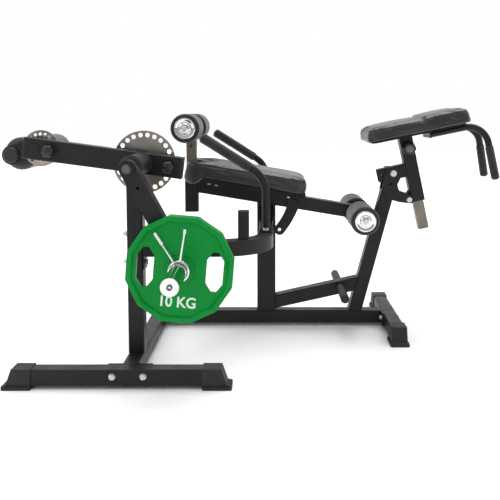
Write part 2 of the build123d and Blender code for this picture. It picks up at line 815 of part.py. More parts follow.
with BuildPart() as shaft_fasteners:
    add_screws(slab(weight_arm_near - arm_collar - 0.1), [(pivot_x, pivot_z)], 7, 0.05)
    with BuildSketch(slab(disc_near + disc_thick + 10)) as far_nut:
        with Locations((pivot_x, pivot_z)):
            RegularPolygon(17, 6)
    extrude(far_nut.sketch, amount=9.9)
    with BuildSketch(slab(horn_end)) as horn_screw:
        with Locations((horn_x, horn_z)):
            Circle(8)
            RegularPolygon(4, 6, mode=Mode.SUBTRACT)
    extrude(horn_screw.sketch, amount=4)
shaft_fasteners.part.label = "shaft_fasteners"
export_step(shaft_fasteners.part, "parts/shaft_fasteners.step")

# ---- Weight plate and spring collar ----
plate_front = Plane(
    origin=spot(horn_x, plate_near, horn_z),
    x_dir=(cos(radians(plate_turned)), 0, -sin(radians(plate_turned))),
    z_dir=(0, -1, 0),
)
plate_back = Plane(origin=spot(horn_x, plate_far, horn_z), x_dir=plate_front.x_dir, z_dir=(0, 1, 0))
plate_thick_y = plate_far - plate_near
with BuildPart() as weight_plate:
    with BuildSketch(plate_back):
        RegularPolygon(plate_r, 12, rotation=15)
    extrude(amount=-plate_thick_y)
    chamfer(edges().filter_by(GeomType.LINE).group_by(Axis.Y)[0], 2)
    back_recess = plate_thick_y - plate_recess - plate_web
    for face, depth in ((plate_front, plate_recess), (plate_back, back_recess)):
        with BuildSketch(face) as recess:
            RegularPolygon(plate_r - plate_rim, 12, rotation=15)
        extrude(recess.sketch, amount=-depth, taper=plate_draft, mode=Mode.SUBTRACT)
        with BuildSketch(face.offset(-depth)) as hub:
            Circle(plate_hub_r)
        extrude(hub.sketch, amount=depth, taper=15)
    with BuildSketch(plate_front) as hand_holes:
        with Locations((-plate_grip_x, 0), (plate_grip_x, 0)):
            Polygon(
                (-grip_half_x, -grip_flat_z),
                (-grip_flat_x, -grip_half_z),
                (grip_flat_x, -grip_half_z),
                (grip_half_x, -grip_flat_z),
                (grip_half_x, grip_flat_z),
                (grip_flat_x, grip_half_z),
                (-grip_flat_x, grip_half_z),
                (-grip_half_x, grip_flat_z),
            )
    extrude(hand_holes.sketch, amount=-plate_thick_y, mode=Mode.SUBTRACT)
    drill(plate_front, [(0, 0)], horn_r + 0.3, -plate_thick_y)
weight_plate.part.label = "weight_plate"
export_step(weight_plate.part, "parts/weight_plate.step")

coil_r = horn_r + 0.4 + coil_wire_r
coil_turns = 3
coil_pitch = 6.4
wire_r = 2.2
wire_tips = ((-69.0, 108.0), (20.0, 121.0))
wire_roots = ((-14.0, 25.3), (4.6, 28.5))
with BuildPart() as spring_collar:
    for turn in range(coil_turns):
        coil_y = plate_near - 0.3 - coil_wire_r - turn * coil_pitch
        with Locations(Location(spot(horn_x, coil_y, horn_z), (90, 0, 0))):
            Torus(coil_r, coil_wire_r)
    for turn, root, tip in zip((0, coil_turns - 1), wire_roots, wire_tips):
        wire_y = plate_near - 0.3 - coil_wire_r - turn * coil_pitch
        run = Vector(tip[0] - root[0], 0, tip[1] - root[1])
        start = Plane(origin=spot(horn_x + root[0], wire_y, horn_z + root[1]), x_dir=(0, 1, 0), z_dir=run)
        with BuildSketch(start) as wire:
            Circle(wire_r)
        extrude(wire.sketch, amount=run.length)
spring_collar.part.label = "spring_collar"
export_step(spring_collar.part, "parts/spring_collar.step")

with BuildPart() as collar_sleeves:
    for turn, root, tip, length in zip((0, coil_turns - 1), wire_roots, wire_tips, (38.0, 12.0)):
        wire_y = plate_near - 0.3 - coil_wire_r - turn * coil_pitch
        run = Vector(tip[0] - root[0], 0, tip[1] - root[1])
        start = Plane(origin=spot(horn_x + root[0], wire_y, horn_z + root[1]), x_dir=(0, 1, 0), z_dir=run)
        with BuildSketch(start.offset(run.length - length + 1)) as plastic:
            Circle(wire_r + 1.8)
        extrude(plastic.sketch, amount=length)
        drill(start, [(0, 0)], wire_r, run.length)
collar_sleeves.part.label = "collar_sleeves"
export_step(collar_sleeves.part, "parts/collar_sleeves.step")

# ---- Lever arm ----
lever_mid_y = (lever_near + lever_far) / 2
lever_width = lever_far - lever_near


def lever_spot(distance):
    """The place at that distance from the pivot along the lever, towards its roller."""
    return (
        pivot_x - distance * cos(radians(lever_tilt)),
        pivot_z + distance * sin(radians(lever_tilt)),
    )


tip_spot = lever_spot(tip_distance)
lever_pin_spot = lever_spot(-disc_holes_r)
tip_pin_spot = lever_spot(tip_distance - small_holes_r)
lever_tail_plane = leaning(*lever_spot(-lever_tail), lever_tilt - 90)
lever_bush_r = 16.0
with BuildPart() as lever_arm:
    with BuildSketch(lever_tail_plane):
        with Locations((lever_mid_y, 0)):
            tube_section(lever_width, lever_height, lever_wall)
    extrude(amount=lever_reach + lever_tail)
    drill(slab(lever_far), [(pivot_x, pivot_z), tip_spot], lever_bush_r, lever_width)
    drill(slab(lever_mid_y), [lever_pin_spot, tip_pin_spot], barrel_nose_r, lever_width)
    drill(slab(lever_far), [lever_pin_spot, tip_pin_spot], pin_r + 0.5, lever_width)
lever_arm.part.label = "lever_arm"
export_step(lever_arm.part, "parts/lever_arm.step")

with BuildPart() as lever_bushes:
    with BuildSketch(slab(lever_far + 0.4)):
        with Locations((pivot_x, pivot_z), tip_spot):
            Circle(lever_bush_r)
            Circle(shaft_r + fit_gap, mode=Mode.SUBTRACT)
    extrude(amount=lever_width + 0.8)
lever_bushes.part.label = "lever_bushes"
export_step(lever_bushes.part, "parts/lever_bushes.step")

with BuildPart() as lever_plugs:
    with BuildSketch(lever_tail_plane) as tail_cap:
        with Locations((lever_mid_y, 0)):
            RectangleRounded(lever_width + 2, lever_height + 2, tube_corner)
    extrude(tail_cap.sketch, amount=-plate_thick)
    with BuildSketch(lever_tail_plane.offset(lever_reach + lever_tail)) as head_cap:
        with Locations((lever_mid_y, 0)):
            RectangleRounded(lever_width, lever_height, tube_corner)
    extrude(head_cap.sketch, amount=plate_thick)
lever_plugs.part.label = "lever_plugs"
export_step(lever_plugs.part, "parts/lever_plugs.step")

lever_pin_place = spot(lever_pin_spot[0], lever_near, lever_pin_spot[1])
lever_pin_face = Plane(origin=lever_pin_place, x_dir=(1, 0, 0), z_dir=(0, -1, 0))
tip_pin_place = spot(tip_pin_spot[0], lever_near, tip_pin_spot[1])
tip_pin_face = Plane(origin=tip_pin_place, x_dir=(1, 0, 0), z_dir=(0, -1, 0))
pin_reach = disc_near - lever_near - tip_gap
with BuildPart() as pin_barrels:
    add_barrel(lever_pin_face, lever_wall)
    add_barrel(tip_pin_face, lever_wall)
pin_barrels.part.label = "pin_barrels"
export_step(pin_barrels.part, "parts/pin_barrels.step")

with BuildPart() as lever_pin:
    add_pull_pin(lever_pin_face, pin_reach, 20)
lever_pin.part.label = "lever_pin"
export_step(lever_pin.part, "parts/lever_pin.step")

with BuildPart() as roller_arm_pin:
    add_pull_pin(tip_pin_face, pin_reach, 20)
roller_arm_pin.part.label = "roller_arm_pin"
export_step(roller_arm_pin.part, "parts/roller_arm_pin.step")

# ---- Roller arm and ankle roller ----
with BuildPart() as small_disc:
    with BuildSketch(slab(disc_near + disc_thick)):
        with Locations(tip_spot):
            Circle(small_disc_r)
            Circle(shaft_r + fit_gap, mode=Mode.SUBTRACT)
            with PolarLocations(small_holes_r, small_hole_count, start_angle=-lever_tilt):
                Circle(small_hole_r, mode=Mode.SUBTRACT)
    extrude(amount=disc_thick)
small_disc.part.label = "small_disc"
export_step(small_disc.part, "parts/small_disc.step")

with BuildPart() as roller_arm_shaft:
    add_rods(slab(roller_arm_near), [tip_spot], 20, roller_arm_near - disc_near - disc_thick)
    add_rods(slab(disc_near + disc_thick), [tip_spot], shaft_r, disc_near + disc_thick - lever_near + 1)
    add_rods(slab(disc_near), [tip_spot], 20, disc_near - lever_far - 0.8)
    add_rods(slab(lever_near - 0.8), [tip_spot], 14, 6)
roller_arm_shaft.part.label = "roller_arm_shaft"
export_step(roller_arm_shaft.part, "parts/roller_arm_shaft.step")

arm_half_width = 33.0
with BuildPart() as roller_arm:
    with BuildSketch(slab(roller_arm_far)):
        strip(tip_spot, (ankle_x, ankle_z), arm_half_width)
    extrude(amount=roller_arm_far - roller_arm_near)
    with BuildSketch(slab(roller_arm_far)):
        strip(tip_spot, (ankle_x, ankle_z), arm_half_width - 3)
    extrude(amount=roller_arm_far - roller_arm_near - 3, mode=Mode.SUBTRACT)
    drill(slab(roller_arm_far), [(ankle_x, ankle_z)], ankle_tube_r, roller_arm_far - roller_arm_near)
roller_arm.part.label = "roller_arm"
export_step(roller_arm.part, "parts/roller_arm.step")

with BuildPart() as ankle_axle:
    with BuildSketch(slab(ankle_half + 1)):
        with Locations((ankle_x, ankle_z)):
            Circle(ankle_tube_r)
            Circle(ankle_tube_bore, mode=Mode.SUBTRACT)
    extrude(amount=ankle_half + 1 - roller_arm_near + 2)
    with BuildSketch(slab(-ankle_half - 0.4)):
        with Locations((ankle_x, ankle_z)):
            Circle(30)
            Circle(ankle_tube_r - 1, mode=Mode.SUBTRACT)
    extrude(amount=5)
ankle_axle.part.label = "ankle_axle"
export_step(ankle_axle.part, "parts/ankle_axle.step")

with BuildPart() as ankle_axle_caps:
    with BuildSketch(slab(roller_arm_near - 2)) as dome:
        with Locations((ankle_x, ankle_z)):
            Circle(27)
    extrude(dome.sketch, amount=9)
    fillet(edges().filter_by(GeomType.CIRCLE).sort_by(Axis.Y)[0], 7)
    with BuildSketch(slab(ankle_half + 6)) as far_cap:
        with Locations((ankle_x, ankle_z)):
            Circle(34)
    extrude(far_cap.sketch, amount=5)
ankle_axle_caps.part.label = "ankle_axle_caps"
export_step(ankle_axle_caps.part, "parts/ankle_axle_caps.step")

with BuildPart() as ankle_roller:
    with BuildSketch(slab(ankle_half)):
        with Locations((ankle_x, ankle_z)):
            Circle(ankle_roller_r)
    extrude(amount=2 * ankle_half)
    fillet(edges().filter_by(GeomType.CIRCLE), 9)
    drill(slab(ankle_half), [(ankle_x, ankle_z)], ankle_tube_r + fit_gap, 2 * ankle_half)
ankle_roller.part.label = "ankle_roller"
export_step(ankle_roller.part, "parts/ankle_roller.step")

# ---- Seat ----
seat_plate_top = rail_top.offset(plate_thick)
nose_back = seat_left + nose_length
with BuildPart() as seat_board:
    with BuildSketch(seat_plate_top):
        seat_outline(6)
        with Locations((nose_back - seat_half + 4, 0)):
            Rectangle(2 * seat_half, 2 * seat_half, mode=Mode.SUBTRACT)
    extrude(amount=seat_board_thick)
    drill(seat_plate_top, seat_bolt_places, 4 + bolt_gap, seat_board_thick)
seat_board.part.label = "seat_board"
export_step(seat_board.part, "parts/seat_board.step")

pad_base = seat_plate_top.offset(seat_board_thick)
with BuildPart() as seat_pad:
    with BuildSketch(pad_base):
        seat_outline(0)
    extrude(amount=seat_pad_thick)
    with BuildSketch(pad_base):
        seat_outline(0)
        with Locations((nose_back - seat_half, 0)):
            Rectangle(2 * seat_half, 3 * seat_half, mode=Mode.INTERSECT)
    extrude(amount=-nose_drop)
    fillet(faces().sort_by(Axis(pad_base.origin, pad_base.z_dir))[-1].edges(), 10)
seat_pad.part.label = "seat_pad"
export_step(seat_pad.part, "parts/seat_pad.step")

# ---- Tilting pad: sleeve with its pivot bar ----
sleeve_axis = leaning(sleeve_foot_x, sleeve_foot_z, -pad_lean)
across = Vector(cos(radians(pad_lean)), 0, sin(radians(pad_lean)))
hinge_to_sleeve = Vector(sleeve_foot_x - hinge_x, 0, sleeve_foot_z - hinge_z).dot(across)
bar_start_x = hinge_x - bar_left * across.X
bar_start_z = hinge_z - bar_left * across.Z


def beside_sleeve(far_y):
    """The sleeve seen from the near side: x across it, y up along it, from its foot."""
    return Plane(origin=spot(sleeve_foot_x, far_y, sleeve_foot_z), x_dir=across, z_dir=(0, -1, 0))


stop_x = Vector(stop_bolt[0] - sleeve_foot_x, 0, stop_bolt[1] - sleeve_foot_z).dot(across)
stop_up = Vector(stop_bolt[0] - sleeve_foot_x, 0, stop_bolt[1] - sleeve_foot_z).dot(sleeve_axis.z_dir)
with BuildPart() as pad_sleeve:
    with BuildSketch(sleeve_axis):
        RectangleRounded(tube, tube, tube_corner)
    extrude(amount=sleeve_length)
    with BuildSketch(leaning(bar_start_x, bar_start_z, 90 - pad_lean)):
        tube_section()
    extrude(amount=bar_left + hinge_to_sleeve - tube / 2)
    with BuildSketch(beside_sleeve(12)):
        with BuildLine():
            Polyline((-24, 48), (-40, 34), (-40, 0), (-24, 0), close=True)
        make_face()
        with Locations((stop_x, stop_up)):
            Circle(bolt_r + 0.3, mode=Mode.SUBTRACT)
        with Locations((stop_x - 8, stop_up - 14)):
            Rectangle(16 + 2 * (bolt_r + 0.3), 28, mode=Mode.SUBTRACT)
    extrude(amount=24)
    with BuildSketch(sleeve_axis):
        Rectangle(slim_tube + 2 * slim_gap, slim_tube + 2 * slim_gap)
    extrude(amount=sleeve_length, mode=Mode.SUBTRACT)
    with BuildSketch(beside_sleeve(-tube / 2)):
        with Locations((0, pad_pin_height)):
            RegularPolygon(barrel_r, 6)
    extrude(amount=barrel_height)
    drill(beside_sleeve(-slim_tube / 2), [(0, pad_pin_height)], pin_r + fit_gap, tube)
    drill(slab(tube / 2), [(hinge_x, hinge_z)], hinge_bolt_r + fit_gap, tube)
    lock_x = hinge_x - 41 * across.X
    lock_z = hinge_z - 41 * across.Z
    drill(slab(tube / 2), [(lock_x, lock_z)], bolt_r + bolt_gap, tube)
pad_sleeve.part.label = "pad_sleeve"
export_step(pad_sleeve.part, "parts/pad_sleeve.step")

# ---- Sliding post, board, pad, handles ----
pad_under = sloping(pad_corner_x, pad_corner_z, pad_slope)
top_plate = pad_under.offset(-pad_board_thick - plate_thick)
post_place = 155.0
neck_height = 16.0
with BuildPart() as pad_post:
    with BuildSketch(sleeve_axis.offset(-post_below)):
        RectangleRounded(slim_tube, slim_tube, 3)
        RectangleRounded(slim_tube - 5, slim_tube - 5, 1.5, mode=Mode.SUBTRACT)
    extrude(amount=post_below + 2 * sleeve_length)
    split(bisect_by=top_plate, keep=Keep.BOTTOM)
    drill(beside_sleeve(0), [(0, pad_pin_height - 25 * step) for step in range(5)], pin_r + 0.5, tube / 2)
pad_post.part.label = "pad_post"
export_step(pad_post.part, "parts/pad_post.step")

with BuildPart() as pad_board:
    with BuildSketch(pad_under.offset(-pad_board_thick)):
        with Locations((pad_length / 2, 0)):
            RectangleRounded(pad_length - 40, 2 * pad_half - 40, 30)
    extrude(amount=pad_board_thick)
pad_board.part.label = "pad_board"
export_step(pad_board.part, "parts/pad_board.step")

with BuildPart() as chest_pad:
    with BuildSketch(pad_under):
        with Locations((pad_length / 2, 0)):
            RectangleRounded(pad_length, 2 * pad_half, 38)
    extrude(amount=pad_thick)
    fillet(faces().sort_by(Axis(pad_under.origin, pad_under.z_dir))[-1].edges(), 8)
chest_pad.part.label = "chest_pad"
export_step(chest_pad.part, "parts/chest_pad.step")

handle_depth = pad_board_thick + pad_handle_r
pad_tube_wall = 2.0
pad_bracket_place = 244.0


def under_pad(along):
    """A place on the handles' line below the pad: its x and z."""
    place = pad_under.offset(-handle_depth).from_local_coords((along, 0, 0))
    return (place.X - shift_x, place.Z)


pad_handle_start = under_pad(pad_bracket_place)
pad_handle_corner = under_pad(448)
pad_handle_end = (838.0, 576.0)
pad_grip_length = 126.0
with BuildPart() as pad_handles:
    for side in (-1, 1):
        with BuildLine() as run:
            FilletPolyline(
                spot(pad_handle_start[0], side * 45, pad_handle_start[1]),
                spot(pad_handle_corner[0], side * 47, pad_handle_corner[1]),
                spot(pad_handle_end[0], side * 68, pad_handle_end[1]),
                radius=74,
            )
        with BuildSketch(Plane(origin=run.line @ 0, z_dir=run.line % 0)) as ring:
            Circle(pad_handle_r)
            Circle(pad_handle_r - pad_tube_wall, mode=Mode.SUBTRACT)
        sweep(ring.sketch, path=run.line)
    with BuildSketch(pad_under.offset(-handle_depth - pad_handle_r)) as bracket:
        with Locations((pad_bracket_place - 3, 0)):
            Rectangle(6, 116)
    extrude(bracket.sketch, amount=2 * pad_handle_r)
    with BuildSketch(top_plate) as mounting:
        with Locations((post_place, 0)):
            RectangleRounded(110, 90, 8)
    extrude(mounting.sketch, amount=plate_thick)
    with BuildSketch(sleeve_axis.offset(sleeve_length + 1)) as neck:
        RectangleRounded(tube, tube, tube_corner)
        Rectangle(slim_tube + 2 * fit_gap, slim_tube + 2 * fit_gap, mode=Mode.SUBTRACT)
    extrude(neck.sketch, amount=neck_height)
pad_handles.part.label = "pad_handles"
export_step(pad_handles.part, "parts/pad_handles.step")

with BuildPart() as pad_grips:
    for side in (-1, 1):
        corner = Vector(*spot(pad_handle_corner[0], side * 47, pad_handle_corner[1]))
        tip = Vector(*spot(pad_handle_end[0], side * 68, pad_handle_end[1]))
        down = (tip - corner).normalized()
        mouth = Plane(origin=tip - down * (pad_grip_length - 8), z_dir=down)
        with BuildSketch(mouth) as foam:
            Circle(pad_grip_r)
        extrude(foam.sketch, amount=pad_grip_length)
    fillet(edges().filter_by(GeomType.CIRCLE).sort_by(Axis.Z)[:2], 10)
    for side in (-1, 1):
        corner = Vector(*spot(pad_handle_corner[0], side * 47, pad_handle_corner[1]))
        tip = Vector(*spot(pad_handle_end[0], side * 68, pad_handle_end[1]))
        down = (tip - corner).normalized()
        mouth = Plane(origin=tip - down * (pad_grip_length - 8), z_dir=down)
        drill(mouth, [(0, 0)], pad_handle_r, pad_grip_length - 8)
pad_grips.part.label = "pad_grips"
export_step(pad_grips.part, "parts/pad_grips.step")

pad_pin_place = beside_sleeve(-tube / 2).from_local_coords((0, pad_pin_height, 0))
with BuildPart() as pad_pin:
    add_pull_pin(Plane(origin=pad_pin_place, x_dir=across, z_dir=(0, -1, 0)), sleeve_wall - tip_gap, 24)
pad_pin.part.label = "pad_pin"
export_step(pad_pin.part, "parts/pad_pin.step")

# ---- Plugs and fasteners of the frame ----
plug_thick = 3.0
with BuildPart() as tube_plugs:
    with BuildSketch(slab(tube / 2 + plug_thick)) as cross_plug:
        with Locations((upright_x, beam_mid)):
            RectangleRounded(tube, tube, tube_corner)
    extrude(cross_plug.sketch, amount=plug_thick)
    with BuildSketch(slab(far_arm_end + plug_thick)) as far_plug:
        with Locations((post_x, arm_z)):
            RectangleRounded(tube, tube, tube_corner)
    extrude(far_plug.sketch, amount=plug_thick)
    with BuildSketch(level(stub_top)) as stub_plug:
        with Locations((stub_x, stub_y)):
            RectangleRounded(stub_width, stub_width, tube_corner)
    extrude(stub_plug.sketch, amount=plug_thick)
    rail_end_z = rail_height(rail_end_x) + tube / 2 / cos(radians(rail_slope))
    with BuildSketch(leaning(rail_end_x, rail_end_z, 90 + rail_slope)) as rail_plug:
        RectangleRounded(tube, tube, tube_corner)
    extrude(rail_plug.sketch, amount=plug_thick)
tube_plugs.part.label = "tube_plugs"
export_step(tube_plugs.part, "parts/tube_plugs.step")

under_seat_plates = Plane(origin=rail_top.origin, x_dir=rail_top.x_dir, z_dir=-rail_top.z_dir)
grip = tube + plate_thick
with BuildPart() as frame_fasteners:
    add_bolts(slab(foot_near_y), flange_holes, bolt_r, grip)
    add_bolts(crosswise(right_foot_x + tube / 2), beam_holes, bolt_r, grip)
    add_bolts(crosswise(arm_start_x), upright_holes, bolt_r, grip)
    with BuildSketch(crosswise(arm_start_x - grip - 2 * bolt_r)) as thread_ends:
        with Locations(*upright_holes):
            Circle(bolt_r)
    extrude(thread_ends.sketch, amount=-5)
    add_bolts(level(handle_foot_z), [(post_x, -handle_bolt_y), (post_x, handle_bolt_y)], bolt_r, grip)
    hinge_width = tube + 2 * hinge_gap + 2 * hinge_plate_thick
    add_bolts(slab(-hinge_width / 2), [(hinge_x, hinge_z)], hinge_bolt_r, hinge_width)
    add_bolts(slab(-hinge_width / 2), [stop_bolt], bolt_r, hinge_width)
    add_screws(under_seat_plates, seat_bolt_places, 4, 17)
frame_fasteners.part.label = "frame_fasteners"
export_step(frame_fasteners.part, "parts/frame_fasteners.step")
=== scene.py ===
import json
from math import atan2, cos, exp, pi, radians, sin, tan

import bmesh
import bpy
from mathutils import Matrix, Vector, noise
from mathutils.bvhtree import BVHTree


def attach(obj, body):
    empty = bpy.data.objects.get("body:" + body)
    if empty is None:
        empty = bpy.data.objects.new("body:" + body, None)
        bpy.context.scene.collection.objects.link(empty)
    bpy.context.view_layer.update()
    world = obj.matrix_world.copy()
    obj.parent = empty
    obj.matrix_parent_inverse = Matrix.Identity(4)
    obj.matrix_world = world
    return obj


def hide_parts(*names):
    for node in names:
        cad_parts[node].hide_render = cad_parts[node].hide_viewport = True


# The looks of a leg extension machine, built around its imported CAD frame. Metres, +Z up; -Y is the
# near side, which carries the weight. Places are given from the seat's middle plane, and spot()
# moves them into the part's own frame, whose origin is at the middle of the floor it covers.
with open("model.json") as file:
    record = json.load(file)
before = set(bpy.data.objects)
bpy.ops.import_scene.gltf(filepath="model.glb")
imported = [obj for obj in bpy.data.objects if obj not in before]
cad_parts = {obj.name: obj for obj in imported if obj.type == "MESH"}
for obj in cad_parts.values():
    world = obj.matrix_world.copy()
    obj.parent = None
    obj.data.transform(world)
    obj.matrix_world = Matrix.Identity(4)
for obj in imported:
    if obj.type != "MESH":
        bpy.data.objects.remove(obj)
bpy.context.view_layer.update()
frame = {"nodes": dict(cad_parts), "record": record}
nodes = frame["nodes"]
slot_of_node = {entry["node"]: entry["material_slot"] for entry in frame["record"]["subparts"]}
shift_x = 0.0395
shift_y = 0.260


def spot(x, y, z):
    """A place given from the seat's middle plane, in the part's own frame."""
    return Vector((x + shift_x, y + shift_y, z))


# ---- Camera, light and floor ----
def add_camera():
    """A long lens a little above the seat, looking straight at the near side and slightly down."""
    data = bpy.data.cameras.new("camera")
    data.lens = 49.0
    data.shift_x = -0.04
    data.shift_y = -0.1654
    camera = bpy.data.objects.new("camera", data)
    camera.location = (shift_x, -2.327, 0.8177)
    camera.rotation_euler = (radians(90 - 4.6), 0, 0)
    bpy.context.scene.collection.objects.link(camera)
    bpy.context.scene.camera = camera


def add_area_light(name, place, target, size, power):
    """A rectangular lamp at place that faces target."""
    data = bpy.data.lights.new(name, "AREA")
    data.shape = "RECTANGLE"
    data.size, data.size_y = size
    data.energy = power
    lamp = bpy.data.objects.new(name, data)
    lamp.location = place
    lamp.rotation_mode = "QUATERNION"
    lamp.rotation_quaternion = (Vector(target) - Vector(place)).to_track_quat("-Z", "Y")
    bpy.context.scene.collection.objects.link(lamp)


def add_surroundings():
    """A white backdrop behind the machine that dims towards the camera's side, two lamps and a pale floor."""
    world = bpy.data.worlds.new("studio")
    world.use_nodes = True
    background = world.node_tree.nodes["Background"]
    background.inputs["Strength"].default_value = 1.0
    tree = world.node_tree
    heading = tree.nodes.new("ShaderNodeTexCoord").outputs["Generated"]
    brightest_way = (-0.1, 0.75, 0.66)
    backdrop = tree.nodes.new("ShaderNodeVectorMath")
    backdrop.operation = "DOT_PRODUCT"
    backdrop.inputs[1].default_value = brightest_way
    tree.links.new(heading, backdrop.inputs[0])
    fade = tree.nodes.new("ShaderNodeMapRange")
    for socket, value in (("From Min", -0.75), ("From Max", 0.35), ("To Min", 0.34), ("To Max", 1.0)):
        fade.inputs[socket].default_value = value
    tree.links.new(backdrop.outputs["Value"], fade.inputs["Value"])
    tree.links.new(fade.outputs["Result"], background.inputs["Color"])
    bpy.context.scene.world = world
    bpy.context.scene.view_settings.view_transform = "Standard"
    add_area_light("softbox_left", (-2.6, -2.2, 2.2), (0, 0, 0.5), (1.0, 1.6), 14)
    sky = bpy.data.lights.new("overhead", "SUN")
    sky.energy = 1.9
    sky.angle = radians(50)
    overhead = bpy.data.objects.new("overhead", sky)
    overhead.rotation_euler = (radians(-14), radians(8), 0)
    bpy.context.scene.collection.objects.link(overhead)
    mesh = bpy.data.meshes.new("floor")
    half = 14
    corners = [(x * half, y * half, 0) for x, y in ((-1, -1), (1, -1), (1, 1), (-1, 1))]
    mesh.from_pydata(corners, [], [(0, 1, 2, 3)])
    floor = bpy.data.objects.new("floor", mesh)
    bpy.context.scene.collection.objects.link(floor)
    material = bpy.data.materials.new("pale_floor")
    material.use_nodes = True
    shader = material.node_tree.nodes["Principled BSDF"]
    shader.inputs["Base Color"].default_value = (0.94, 0.94, 0.94, 1)
    shader.inputs["Roughness"].default_value = 0.8
    floor.data.materials.append(material)


# ---- Materials ----
class Surface:
    """A procedural material under construction: its node tree and its Principled shader."""

    def __init__(self, name, **sockets):
        self.material = bpy.data.materials.new(name)
        self.material.use_nodes = True
        self.tree = self.material.node_tree
        self.shader = self.tree.nodes["Principled BSDF"]
        self.place = self.add("ShaderNodeTexCoord").outputs["Object"]
        for socket, value in sockets.items():
            self.shader.inputs[socket.replace("_", " ").title().replace("Ior", "IOR")].default_value = value

    def add(self, kind, **settings):
        node = self.tree.nodes.new(kind)
        for key, value in settings.items():
            setattr(node, key, value)
        return node

    def feed(self, socket, source):
        """A socket takes another node's output or a plain value."""
        if isinstance(source, bpy.types.NodeSocket):
            self.tree.links.new(source, socket)
        else:
            socket.default_value = source

    def moved(self, stretch=(1, 1, 1), origin=(0, 0, 0)):
        """Object coordinates, measured from origin and stretched."""
        shifted = self.add("ShaderNodeVectorMath", operation="SUBTRACT")
        self.feed(shifted.inputs[0], self.place)
        shifted.inputs[1].default_value = origin
        scaled = self.add("ShaderNodeVectorMath", operation="MULTIPLY")
        self.feed(scaled.inputs[0], shifted.outputs[0])
        scaled.inputs[1].default_value = stretch
        return scaled.outputs[0]

    def noise(self, scale, detail=3.0, rough=0.5, where=None):
        node = self.add("ShaderNodeTexNoise")
        self.feed(node.inputs["Vector"], where or self.place)
        node.inputs["Scale"].default_value = scale
        node.inputs["Detail"].default_value = detail
        node.inputs["Roughness"].default_value = rough
        return node.outputs["Fac"]

    def cells(self, scale, feature="F1", where=None):
        node = self.add("ShaderNodeTexVoronoi", feature=feature)
        self.feed(node.inputs["Vector"], where or self.place)
        node.inputs["Scale"].default_value = scale
        return node.outputs["Distance"]

    def math(self, operation, first, second=0.0):
        node = self.add("ShaderNodeMath", operation=operation)
        self.feed(node.inputs[0], first)
        self.feed(node.inputs[1], second)
        return node.outputs[0]

    def spread(self, source, low, high, start=0.3, end=0.7):
        """A value between low and high as source goes from start to end."""
        node = self.add("ShaderNodeMapRange")
        self.feed(node.inputs["Value"], source)
        for socket, value in (("From Min", start), ("From Max", end), ("To Min", low), ("To Max", high)):
            node.inputs[socket].default_value = value
        return node.outputs["Result"]

    def blend(self, amount, first, second):
        """A colour between two colours, each a triple or another node's output."""
        node = self.add("ShaderNodeMix", data_type="RGBA")
        self.feed(node.inputs[0], amount)
        for socket, colour in ((node.inputs[6], first), (node.inputs[7], second)):
            self.feed(socket, colour if isinstance(colour, bpy.types.NodeSocket) else (*colour, 1.0))
        return node.outputs[2]

    def edges(self, radius):
        """How far the surface turns within radius: 0 on flats, towards 1 along edges."""
        rounded = self.add("ShaderNodeBevel", samples=4)
        rounded.inputs["Radius"].default_value = radius
        plain = self.add("ShaderNodeNewGeometry").outputs["Normal"]
        facing = self.add("ShaderNodeVectorMath", operation="DOT_PRODUCT")
        self.feed(facing.inputs[0], rounded.outputs[0])
        self.feed(facing.inputs[1], plain)
        return self.math("SUBTRACT", 1.0, facing.outputs["Value"])

    def colour(self, source):
        self.feed(self.shader.inputs["Base Color"], source)

    def roughness(self, source):
        self.feed(self.shader.inputs["Roughness"], source)

    def bump(self, height, strength, distance, edge_radius=0.0):
        node = self.add("ShaderNodeBump")
        self.feed(node.inputs["Height"], height)
        node.inputs["Strength"].default_value = strength
        node.inputs["Distance"].default_value = distance
        if edge_radius:
            rounded = self.add("ShaderNodeBevel", samples=4)
            rounded.inputs["Radius"].default_value = edge_radius
            self.feed(node.inputs["Normal"], rounded.outputs[0])
        self.feed(self.shader.inputs["Normal"], node.outputs[0])


def powder_coat():
    """Satin black powder coat: orange peel, faint clouding and edges paled by wear and a painted highlight.
    """
    s = Surface("frame_paint", specular_ior_level=0.27)
    clouds = s.spread(s.noise(9, 4), 0.0, 1.0)
    base = s.blend(clouds, (0.0070, 0.0070, 0.0074), (0.0115, 0.0115, 0.0120))
    # Paler colour along edges: partly wear, partly a painted edge highlight.
    s.colour(s.blend(s.spread(s.edges(0.0018), 0.0, 0.6, 0.02, 0.4), base, (0.05, 0.05, 0.052)))
    s.roughness(s.spread(s.noise(26, 5), 0.36, 0.5))
    s.bump(s.noise(620, 2), 0.16, 0.0004, 0.0009)
    return s.material


def steel(name, colour, rough, stretch, scale, tint=(1, 1, 1), edge=0.0006):
    """Brushed or polished steel, with its grain drawn out along one way."""
    s = Surface(name, metallic=1.0)
    grain = s.noise(scale, 4, 0.6, s.moved(stretch))
    worn = tuple(channel * shade * 0.78 for channel, shade in zip(colour, tint))
    s.colour(s.blend(s.spread(s.noise(14, 4), 0.0, 1.0), colour, worn))
    s.roughness(s.spread(grain, rough * 0.75, rough * 1.3))
    s.bump(grain, 0.12, 0.0002, edge)
    return s.material


